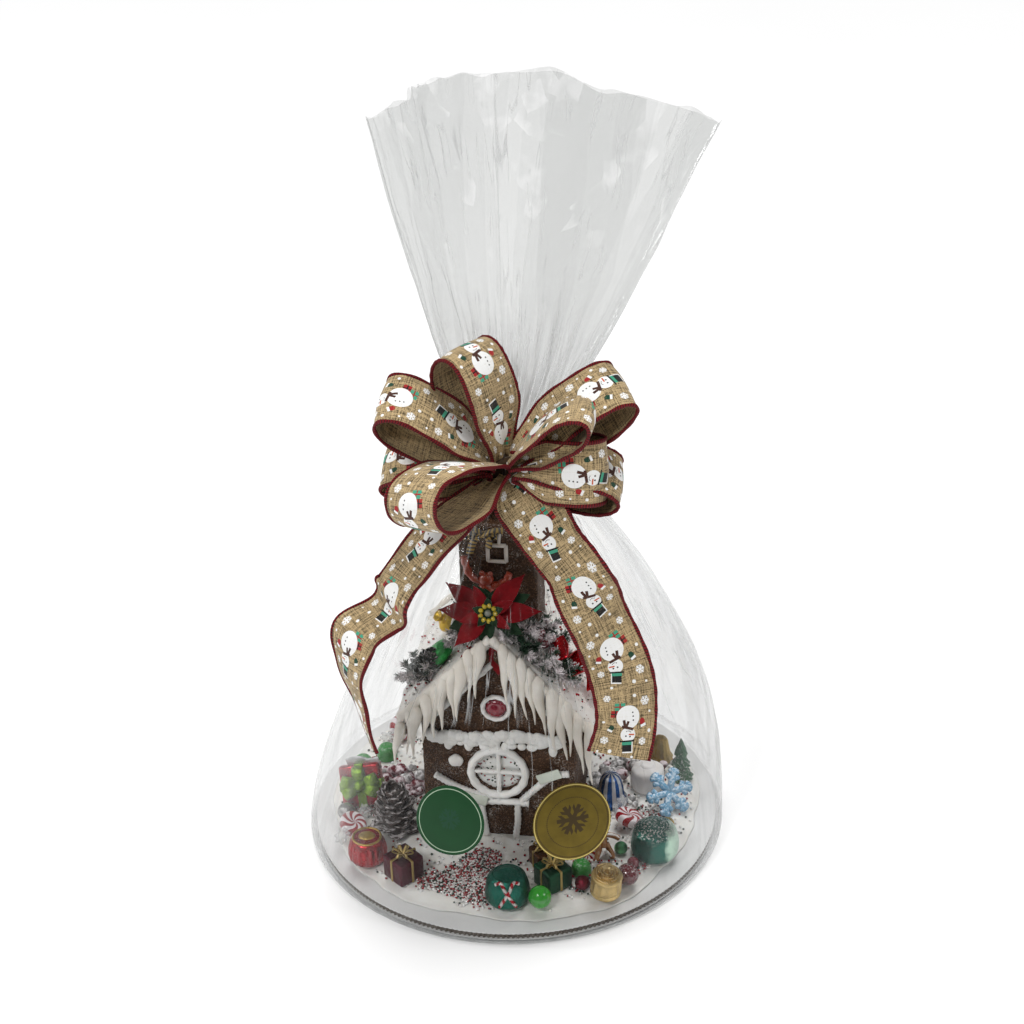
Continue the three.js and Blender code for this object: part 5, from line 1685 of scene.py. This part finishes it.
def bag_reach(height):
    """Reach of the bag to the left, right, front and back."""
    over = max(0, (height - NECK_HEIGHT) / (RIM_HEIGHT - NECK_HEIGHT))
    if over > 0:
        spread = over**0.66
        return mix(NECK_RADIUS, 83, spread), mix(NECK_RADIUS, 147, spread), mix(NECK_RADIUS, 31, over), mix(
            NECK_RADIUS, 28, spread
        )
    wide = BAG_BASE_RADIUS - NECK_RADIUS
    shapes = ((1.45, 1.15), (2.27, 1), (1.9, 1), (1.6, 1))
    return tuple(NECK_RADIUS + wide * swell(height, power, ease) for power, ease in shapes)


def corner_flap(angle, height):
    off = (angle - rad(-46)) / rad(13)
    return 9 * math.exp(-off * off) * math.exp(-height / 14)


def on_bag(angle, height, offset=0.0):
    """Point on the bag moved outward by the offset."""
    left, right, front, back = bag_reach(height)
    spread = offset + corner_flap(angle, height)
    over = max(0, (height - NECK_HEIGHT) / (RIM_HEIGHT - NECK_HEIGHT))
    x = cos(angle) * ((right if cos(angle) > 0 else left) + spread)
    y = sin(angle) * ((back if sin(angle) > 0 else front) + spread)
    return vec(x, y + FAN_LEAN * over, height)


def ridge(phase):
    """Sharp-topped wave from -1 to 1."""
    return 1 - 2 * abs(sin(phase / 2)) ** 0.7


def film_noise(angle, up, size, seed):
    """Noise that closes round the bag."""
    return noise.noise(vec(cos(angle) / size + seed, sin(angle) / size + 2 * seed, up / size))


def rim_drop(angle):
    """How far the cut edge of the fan falls below its highest point, with a flap on the left."""
    c = cos(angle)
    left = 8 * ramp(-c, 0.43, 0.70) + 9 * ramp(-c, 0.71, 0.745) + 11 * ramp(-c, 0.8, 1)
    right = 16 * ramp(c, 0.26, 0.55) + 10 * ramp(c, 0.55, 0.86) + 12 * ramp(c, 0.86, 1)
    return left + right + 3.0 * film_noise(angle, 0, 0.16, 4)


def facets(turns, up, across, seed):
    """Random heights from -1 to 1 joined by flat triangles, as in crumpled film."""
    a, b = turns * across + 0.4 * up, up
    i, j = math.floor(a), math.floor(b)
    a, b = a - i, b - j

    def height(k, row):
        return 2 * noise.cell(vec(k % across + 0.5, row + 0.5, seed + 0.5)) - 1

    low, high = (height(i, j), height(i + 1, j)), (height(i, j + 1), height(i + 1, j + 1))
    if noise.cell(vec(i % across + 0.5, j + 0.5, seed + 9.5)) > 0.5:
        a, low, high = 1 - a, low[::-1], high[::-1]
    if a > b:
        return low[0] + a * (low[1] - low[0]) + b * (high[1] - low[1])
    return low[0] + b * (high[0] - low[0]) + a * (high[1] - high[0])


def fan_folds(angle, over):
    """Folds that fan out of the neck, close on the left, and flat facets between creases above them."""
    wander = film_noise(angle, over, 0.9, 0)
    left = ramp(-cos(angle), 0.45, 0.85)
    depth = mix(1.0, 2.8, min(1, over * 1.6)) * mix(mix(1, 0.22, ramp(over, 0.2, 0.6)), 1, left)
    folds = 0.45 * ridge(17 * angle + 3 * wander) + 0.35 * ridge(37 * angle - 4 * wander) + 0.2 * ridge(
        67 * angle + wander
    )
    turns = angle / TAU
    flats = 4.6 * facets(turns + 0.03 * wander, 4.3 * over, 15, 1) + 1.5 * facets(turns, 9.5 * over, 33, 2)
    rim = abs(cos(angle)) ** 6
    return depth * folds * (1 - 0.5 * rim) + ramp(over, 0.06, 0.4) * mix(flats, 3.6, 0.85 * rim)


def body_folds(angle, up):
    """Slack of the bag round the house: tight at the foot, gathered towards the neck."""
    gather = ramp(up, 0.30, 0.85) * (1 - 0.75 * ramp(up, 0.85, 1.0))
    wander = film_noise(angle, up, 0.7, 5)
    folds = gather * (1.5 * ridge(9 * angle + 3 * wander) + 0.8 * ridge(23 * angle - 2 * wander))
    dents = 2.0 * film_noise(angle, 1.4 * up, 0.36, 8) + 1.1 * abs(film_noise(angle, 1.4 * up, 0.13, 2))
    return folds + mix(0.35, 1.0, ramp(up, 0.05, 0.3)) * dents


def under_label(angle, height):
    """1 where a label is stuck on, 0 beside it."""
    share = 0.0
    for center, middle, radius in LABEL_PLACES.values():
        reach = bag_reach(height)[2]
        off = math.hypot((angle_between(angle, center)) * reach, height - middle)
        share = max(share, 1 - ramp(off, radius + 2, radius + 12))
    return share


def angle_between(a, b):
    return (a - b + math.pi) % TAU - math.pi


def film_rings(sides, levels, point_at):
    """Open skin whose cloth coordinate runs round from the back and up in metres."""
    rings, cloth = [], []
    for level in levels:
        ring = []
        for k in range(sides):
            ring.append(point_at(TAU * (k / sides + 0.25), level))
            cloth.append((k / sides, ring[-1].z * MM))
        rings.append(ring)
    points, faces = loft(rings, ends=False)
    return points, faces, cloth


def build_film():
    under = {-4: (95, 0.25), -3: (30, 0.2), -2: (6, 0.2), -1: (1, 1.2)}

    def body_point(angle, height):
        if height in under:
            inset, level = under[height]
            return vec(*on_bag(angle, 0, -inset).xy, level)
        flat = under_label(angle, height)
        folds = body_folds(angle, height / NECK_HEIGHT) * ramp(height, 2, 12)
        return on_bag(angle, height, mix(folds, -0.6, flat))

    shares = [j / (BODY_RINGS - 1) for j in range(BODY_RINGS)]
    levels = list(under) + [mix(2.5, NECK_HEIGHT + 2, share**0.92) for share in shares]
    body = film_rings(BODY_SIDES, levels, body_point)
    tint, haze = (0.98, 0.983, 0.983), (0.40, 0.41, 0.41)
    # 0.45 is the strength of the painted crease highlights.
    clear = clear_film("film_body", tint, 0.0, haze, 0.45, 34, gathers=0.16, sides=0.38)
    stand_in("bag_film", body, clear, "clear_bag")

    def fan_point(angle, over):
        height = mix(NECK_HEIGHT - 1, RIM_HEIGHT, over)
        place = on_bag(angle, height, fan_folds(angle, over))
        return place - vec(0, 0, over**2.5 * (rim_drop(angle) + RIM_TILT * (sin(angle) - 1) + RIM_TILT))

    shares = [j / (FAN_RINGS - 1) for j in range(FAN_RINGS)]
    fan = film_rings(FAN_SIDES, shares, fan_point)
    tint, haze = (0.905, 0.908, 0.904), (0.44, 0.45, 0.445)
    # 0.35 is the strength of the painted crease highlights; flats is that of the painted highlights on the
    # fan.
    grey = clear_film("film_fan", tint, 0.16, haze, 0.35, 34, pleat=1.3, gathers=0.34, flats=0.75)
    stand_in("bag_fan", fan, grey, "clear_bag")


# ---------------------------------------------------------------- labels
def sheet_point(center, height, a, b, lift):
    """Point of a round label that lies on the bag: a across and b up from its middle."""
    here, above = on_bag(center, height), on_bag(center, height + 2)
    rise = (above - here).normalized()
    around = (on_bag(center + 0.01, height) - here).length / 0.01
    return on_bag(center + a / around, height + b * rise.z, lift)


def build_label(name, center, height, radius, material, teeth=0):
    """Thin round label curved with the film; its cloth coordinate runs from its middle."""
    sides, rings = 120, 14
    points, cloth = [], []
    for lift in (0.9, 0.45):
        for j in range(rings + 1):
            for k in range(sides):
                angle = TAU * k / sides
                reach = radius * (j + 0.02) / (rings + 0.02)
                if teeth and j == rings:
                    reach *= 1 - 0.018 * (1 - cos(teeth * angle)) / 2
                a, b = reach * cos(angle), reach * sin(angle)
                points.append(sheet_point(center, height, a, b, lift))
                cloth.append((a * MM, b * MM))
    shell = (rings + 1) * sides
    faces = []
    for base, flip in ((0, False), (shell, True)):
        for j in range(rings):
            for k in range(sides):
                a, b = base + j * sides + k, base + j * sides + (k + 1) % sides
                quad = (a, b, b + sides, a + sides)
                faces.append(quad[::-1] if flip else quad)
        hub = tuple(base + k for k in range(sides))
        faces.append(hub if flip else hub[::-1])
    last = rings * sides
    for k in range(sides):
        a, b = last + k, last + (k + 1) % sides
        faces.append((a, b, b + shell, a + shell))
    stand_in(name, (points, [f[::-1] for f in faces], cloth), material, name, sharp=60)


def label_green():
    look = Look("label_green", Specular_IOR_Level=0.25)
    art = Print(
        look, look.blend(look.noise(12, 2), (0.002, 0.040, 0.009), (0.004, 0.056, 0.014)), repeats=False
    )
    art.band(23.2, 0.28, (0.40, 0.52, 0.38))
    art.flake((0, 1.5), 8.0, 0, (0.006, 0.05, 0.022))
    return look.finished(art.ink, (6, 0.3, 0.4), look.bump(look.noise(14, 2), 0.4, 0.5))


def label_gold():
    look = Look("label_gold", Metallic=0.75)
    art = Print(
        look, look.blend(look.noise(9, 3), (0.075, 0.052, 0.007), (0.17, 0.12, 0.016)), repeats=False
    )
    dark, pale = (0.05, 0.033, 0.012), (0.55, 0.44, 0.15)
    art.band(27.4, 0.35, pale)
    art.beads(25.8, 0.5, 66, dark)
    art.flake((0, 2.5), 11.5, 0, dark)
    art.beads(18.5, 0.45, 40, dark)
    fine = look.bump(look.noise(1.2, 2), 0.1, 0.5)
    return look.finished(art.ink, (6, 0.28, 0.4), look.bump(look.noise(14, 2), 0.5, 0.5, fine))


def build_labels():
    build_label("label_green", *LABEL_PLACES["label_green"], label_green())
    build_label("label_gold", *LABEL_PLACES["label_gold"], label_gold(), teeth=60)


# ---------------------------------------------------------------- the bow
BOW = shifted(*KNOT) @ about("X", 90 - BOW_PITCH)
LOOPS = (  # heading, lift, reach, puff, roll
    (108, 14, 80, 26, 40),
    (150, 17, 90, 22, 42),
    (205, 44, 88, 30, 63),
    (178, -10, 76, 16, 40),
    (32, 8, 92, 22, -38),
    (30, 26, 70, 18, -70),
    (-4, 12, 64, 24, 16),
    (-10, -2, 74, 19, -42),
)
LEFT_TAIL = (  # place, direction across
    ((-8, -50, 322), (0.9, -0.4, 0.1)),
    ((-40, -62, 294), (0.7, -0.7, 0.2)),
    ((-68, -76, 266), (0.6, -0.8, 0.15)),
    ((-79, -84, 252), (0.5, -0.86, 0.05)),
    ((-84, -82, 236), (0.5, -0.86, 0)),
    ((-106, -92, 224), (0.7, -0.71, 0)),
    ((-111, -98, 200), (0.45, -0.87, 0.2)),
    ((-105, -104, 172), (0.25, -0.91, 0.3)),
    ((-98, -110, 146), (0.16, -0.91, 0.39)),
)
RIGHT_TAIL = (
    ((3, -52, 320), (1, 0, 0)), ((14, -64, 308), (1, -0.05, 0)), ((33, -80, 281), (0.87, -0.35, 0.36)),
    ((47, -91, 264), (0.8, -0.2, 0.3)), ((60, -95, 232), (0.9, 0.35, -0.1)),
    ((74, -104, 196), (1, 0.05, 0)), ((78, -114, 165), (0.95, 0.3, 0)), ((72, -124, 139), (0.95, 0.2, 0.25))
)


def ribbon(name, stations, start_at):
    """Length of wired ribbon through stations of place, direction across and share of its width.

    It is printed outside and plain inside, and both of its edges are bound with red thread.
    """
    cells, half = 10, RIBBON_WIDTH / 2
    fronts, cloths, run = [], [], start_at
    for k, (place, across, share) in enumerate(stations):
        ahead, behind = stations[min(k + 1, len(stations) - 1)][0], stations[max(k - 1, 0)][0]
        along = (ahead - behind).normalized()
        across = (across - along * across.dot(along)).normalized()
        face = along.cross(across)
        run += (place - stations[k - 1][0]).length if k else 0
        row, cloth = [], []
        for j in range(cells + 1):
            s = 2 * j / cells - 1
            cup = 1.6 * (1 - s * s) + 0.5 * sin(0.16 * run + 2 * s) * s
            gather = 2.4 * (1 - share) * sin(9 * s + k * 0.05)
            row.append((place + across * (s * half * share) + face * (cup * share + gather), face))
            cloth.append((s * half * MM, run * MM))
        fronts.append(row)
        cloths.append(cloth)
    points, cloth, faces, skins = [], [], [], []
    width, total = cells + 1, len(stations)
    for lift in (RIBBON_THICKNESS / 2, -RIBBON_THICKNESS / 2):
        for row, flat in zip(fronts, cloths):
            points += [p + face * lift for p, face in row]
            cloth += flat
    shell = width * total
    for j in range(total - 1):
        for k in range(cells):
            a = j * width + k
            faces.append((a, a + 1, a + 1 + width, a + width))
            skins.append(0)
            b = a + shell
            faces.append((b, b + width, b + 1 + width, b + 1))
            skins.append(1)
    rim = [j * width for j in range(total)] + [(total - 1) * width + k for k in range(1, width)]
    rim += [j * width + cells for j in range(total - 2, -1, -1)] + [k for k in range(cells - 1, 0, -1)]
    for a, b in zip(rim, rim[1:] + rim[:1]):
        faces.append((a, b, b + shell, a + shell))
        skins.append(1)
    body = Body()
    body.points, body.faces, body.cloth, body.skins = points, [f[::-1] for f in faces], cloth, skins
    cloth_piece = stand_in(
        name, body, [LOOKS["ribbon_print"], LOOKS["ribbon_back"]], "ribbon_bow", sharp=60
    )
    for side, j in (("left", 0), ("right", cells)):
        line = [row[j][0] for row in fronts]
        wire = tube(line, lambda s, a: 1.3 * (1 + 0.16 * sin(TAU * s * run / 2.4)), 8)
        turns = [(k % 8 / 8, cloths[k // 8][0][1]) for k in range(8 * total)] + [(0, 0), (0, 0)]
        show(f"{name}_{side}_edge", (*wire, turns), LOOKS["ribbon_edge"], ["ribbon_bow"])
    (run - start_at) * MM


def bow_loop(heading, lift, reach, puff, roll):
    """Loop out of the knot and back; heading and lift aim it, roll leans its width."""
    steps = 56
    h, l, r = rad(heading), rad(lift), rad(roll)
    out = vec(cos(h) * cos(l), sin(h) * cos(l), sin(l))
    flat = vec(-sin(h), cos(h), 0)
    over = out.cross(flat)
    across = flat * cos(r) + over * sin(r)
    normal = out.cross(across)
    stations = []
    for k in range(2, steps - 1):
        turn = TAU * k / steps
        away = (1 - cos(turn)) / 2
        at = out * (4 + (reach + 2) * away**0.8) + normal * (
            puff * sin(turn) * (0.35 + 0.65 * away) * (1 - 0.25 * away)
        )
        stations.append((BOW @ at, (BOW.to_3x3() @ across).normalized(), mix(0.5, 1, ramp(away, 0, 0.36))))
    return stations


def tail_stations(rows):
    places = spline([p for p, a in rows], 12)
    across = spline([a for p, a in rows], 12)
    return [
        (p, a.normalized(), mix(0.45, 1, ramp(k / len(places), 0, 0.12)))
        for k, (p, a) in enumerate(zip(places, across))
    ]


def build_bow():
    for k, loop in enumerate(LOOPS):
        ribbon(f"bow_loop_{k + 1}", bow_loop(*loop), 37 * k)
    ribbon("bow_tail_left", tail_stations(LEFT_TAIL), 12)
    ribbon("bow_tail_right", tail_stations(RIGHT_TAIL), 30)
    knot = lathe(
        [(0.1, -13), (5, -12.5), (8, -7), (9, 0), (8, 7), (5, 12.5), (0.1, 13)], 40,
        lambda a, z: 1 + 0.16 * sin(5 * a + 0.3 * z) + 0.06 * sin(11 * a)
    )
    # The knot is coloured much darker than the ribbon: painted shade in the middle of the bow.
    stand_in(
        "bow_core", Body().add(knot, BOW @ about("Y", 90)), velvet("core_painted_shade", (0.05, 0.03, 0.016)),
        "ribbon_bow"
    )
    line = [BOW @ p.zxy for p in around(8.4, 0, 48)]
    band = tube(line, lambda s, a: 1.1 * (1 + 0.1 * sin(24 * TAU * s)), 12, closed=True)
    stand_in("bow_strap", band, velvet("tie_dark", (0.035, 0.02, 0.015)), "bow_tie")


# ---------------------------------------------------------------- light and camera
FLOOR_REACH = 40
WORLD_STRENGTH = 0.18
LAMPS = (  # name, place, target, size, watts
    ("key", (-1.6, -2.4, 3.0), (0, 0, 0.2), (0.8, 0.6), 62),
    ("glint_right", (1.3, -0.7, 1.1), (0, 0, 0.25), (0.10, 0.5), 4),
    ("glint_left", (-1.4, 0.0, 0.9), (0, 0, 0.3), (0.12, 0.8), 5),
)
OVERHEAD_STRENGTH = 3.0
OVERHEAD_WIDTH = 38
OVERHEAD_TILT = (-14, 6)

LENS = 79.38
CAMERA_TARGET = (3.6, 0, 263.8)
CAMERA_RISE = 30
CAMERA_DISTANCE = 1600
CAMERA_ROLL = -1.76


def placed(name, data):
    made = bpy.data.objects.new(name, data)
    bpy.context.scene.collection.objects.link(made)
    return made


def area_light(name, place, target, size, watts):
    """Rectangular lamp; places are metres."""
    data = bpy.data.lights.new(name, "AREA")
    data.shape = "RECTANGLE"
    data.size, data.size_y = size
    data.energy = watts
    light = placed(name, data)
    light.location = place
    light.rotation_euler = (Vector(target) - Vector(place)).to_track_quat("-Z", "Y").to_euler()


def build_studio():
    """Pale floor, even light from overhead and softer lamps from the front and the sides."""
    floor = bpy.data.meshes.new("floor")
    corners = [(FLOOR_REACH * x, FLOOR_REACH * y, -0.0002) for x, y in ((-1, -1), (1, -1), (1, 1), (-1, 1))]
    floor.from_pydata(corners, [], [(0, 1, 2, 3)])
    look = Look("floor_pale", Specular_IOR_Level=0.2)
    pale = look.blend(look.noise(300, 2), (0.82, 0.82, 0.82), (0.84, 0.84, 0.84))
    look.put(look.shader.inputs["Base Color"], pale)
    look.put(look.shader.inputs["Roughness"], look.varied(200, 0.8, 0.85))
    floor.materials.append(look.material)
    placed("floor", floor)

    world = bpy.data.worlds.new("studio")
    world.use_nodes = True
    background = world.node_tree.nodes["Background"]
    background.inputs["Color"].default_value = (1, 1, 1, 1)
    background.inputs["Strength"].default_value = WORLD_STRENGTH
    for lamp in LAMPS:
        area_light(*lamp)
    overhead = placed("overhead", bpy.data.lights.new("overhead", "SUN"))
    overhead.data.energy = OVERHEAD_STRENGTH
    overhead.data.angle = rad(OVERHEAD_WIDTH)
    overhead.rotation_euler = (rad(OVERHEAD_TILT[0]), rad(OVERHEAD_TILT[1]), 0)
    overhead.visible_glossy = False  # lights evenly without a sheen on the film
    scene = bpy.context.scene
    scene.world = world
    scene.view_settings.view_transform = "Standard"
    scene.cycles.transparent_max_bounces = 24


def build_camera():
    """Camera at the photograph's angle: 1.6 m away, 30 degrees up, leaning a little."""
    data = bpy.data.cameras.new("camera")
    data.sensor_width = 36
    data.lens = LENS
    target = Vector(CAMERA_TARGET) * MM
    away = vec(0, -cos(rad(CAMERA_RISE)), sin(rad(CAMERA_RISE))) * CAMERA_DISTANCE * MM
    facing = (-away).to_track_quat("-Z", "Y").to_matrix().to_4x4()
    camera = placed("camera", data)
    camera.matrix_world = Matrix.Translation(target + away) @ facing @ about("Z", CAMERA_ROLL)
    bpy.context.scene.camera = camera


LOOKS = {
    "mint_red": gloss("mint_red", (0.30, 0.014, 0.022)),
    "wrapper": clear_film("film_wrapper", (0.95, 0.95, 0.95), 0.16),
    "elastic": foil("elastic_gold", (0.45, 0.33, 0.12), 2, 0.3),
    "ribbon_print": burlap("ribbon_print", True), "ribbon_back": burlap("ribbon_back", False),
    "ribbon_edge": overlocked()
}

build_board()
build_ground()
build_walls()
build_snow()
icicle_row("icicle_row_front", -ROOF_OVERHANG - 4.95, 10, 47, 4.3, "icicles_front")
icicle_row("icicle_row_back", HOUSE_DEPTH + ROOF_OVERHANG + 4.95, 3, 30, 4.4, "icicles_back")
build_piping()
build_poinsettia()
build_roof_sweets()
build_chimney_trim()
build_presents()
for node, turn, tilt in (("mint_left", 62, 30), ("mint_right", 110, 24), ("mint_back_left", 50, 60)):
    show_mint(node, turn, tilt)
build_foil_sweets()
build_gumdrops()
build_snowflake()
build_cookie()
build_pine_cone()
build_loose_sweets()
build_sugar_rocks()
build_sprinkles()
build_film()
build_labels()
build_bow()
build_studio()
build_camera()
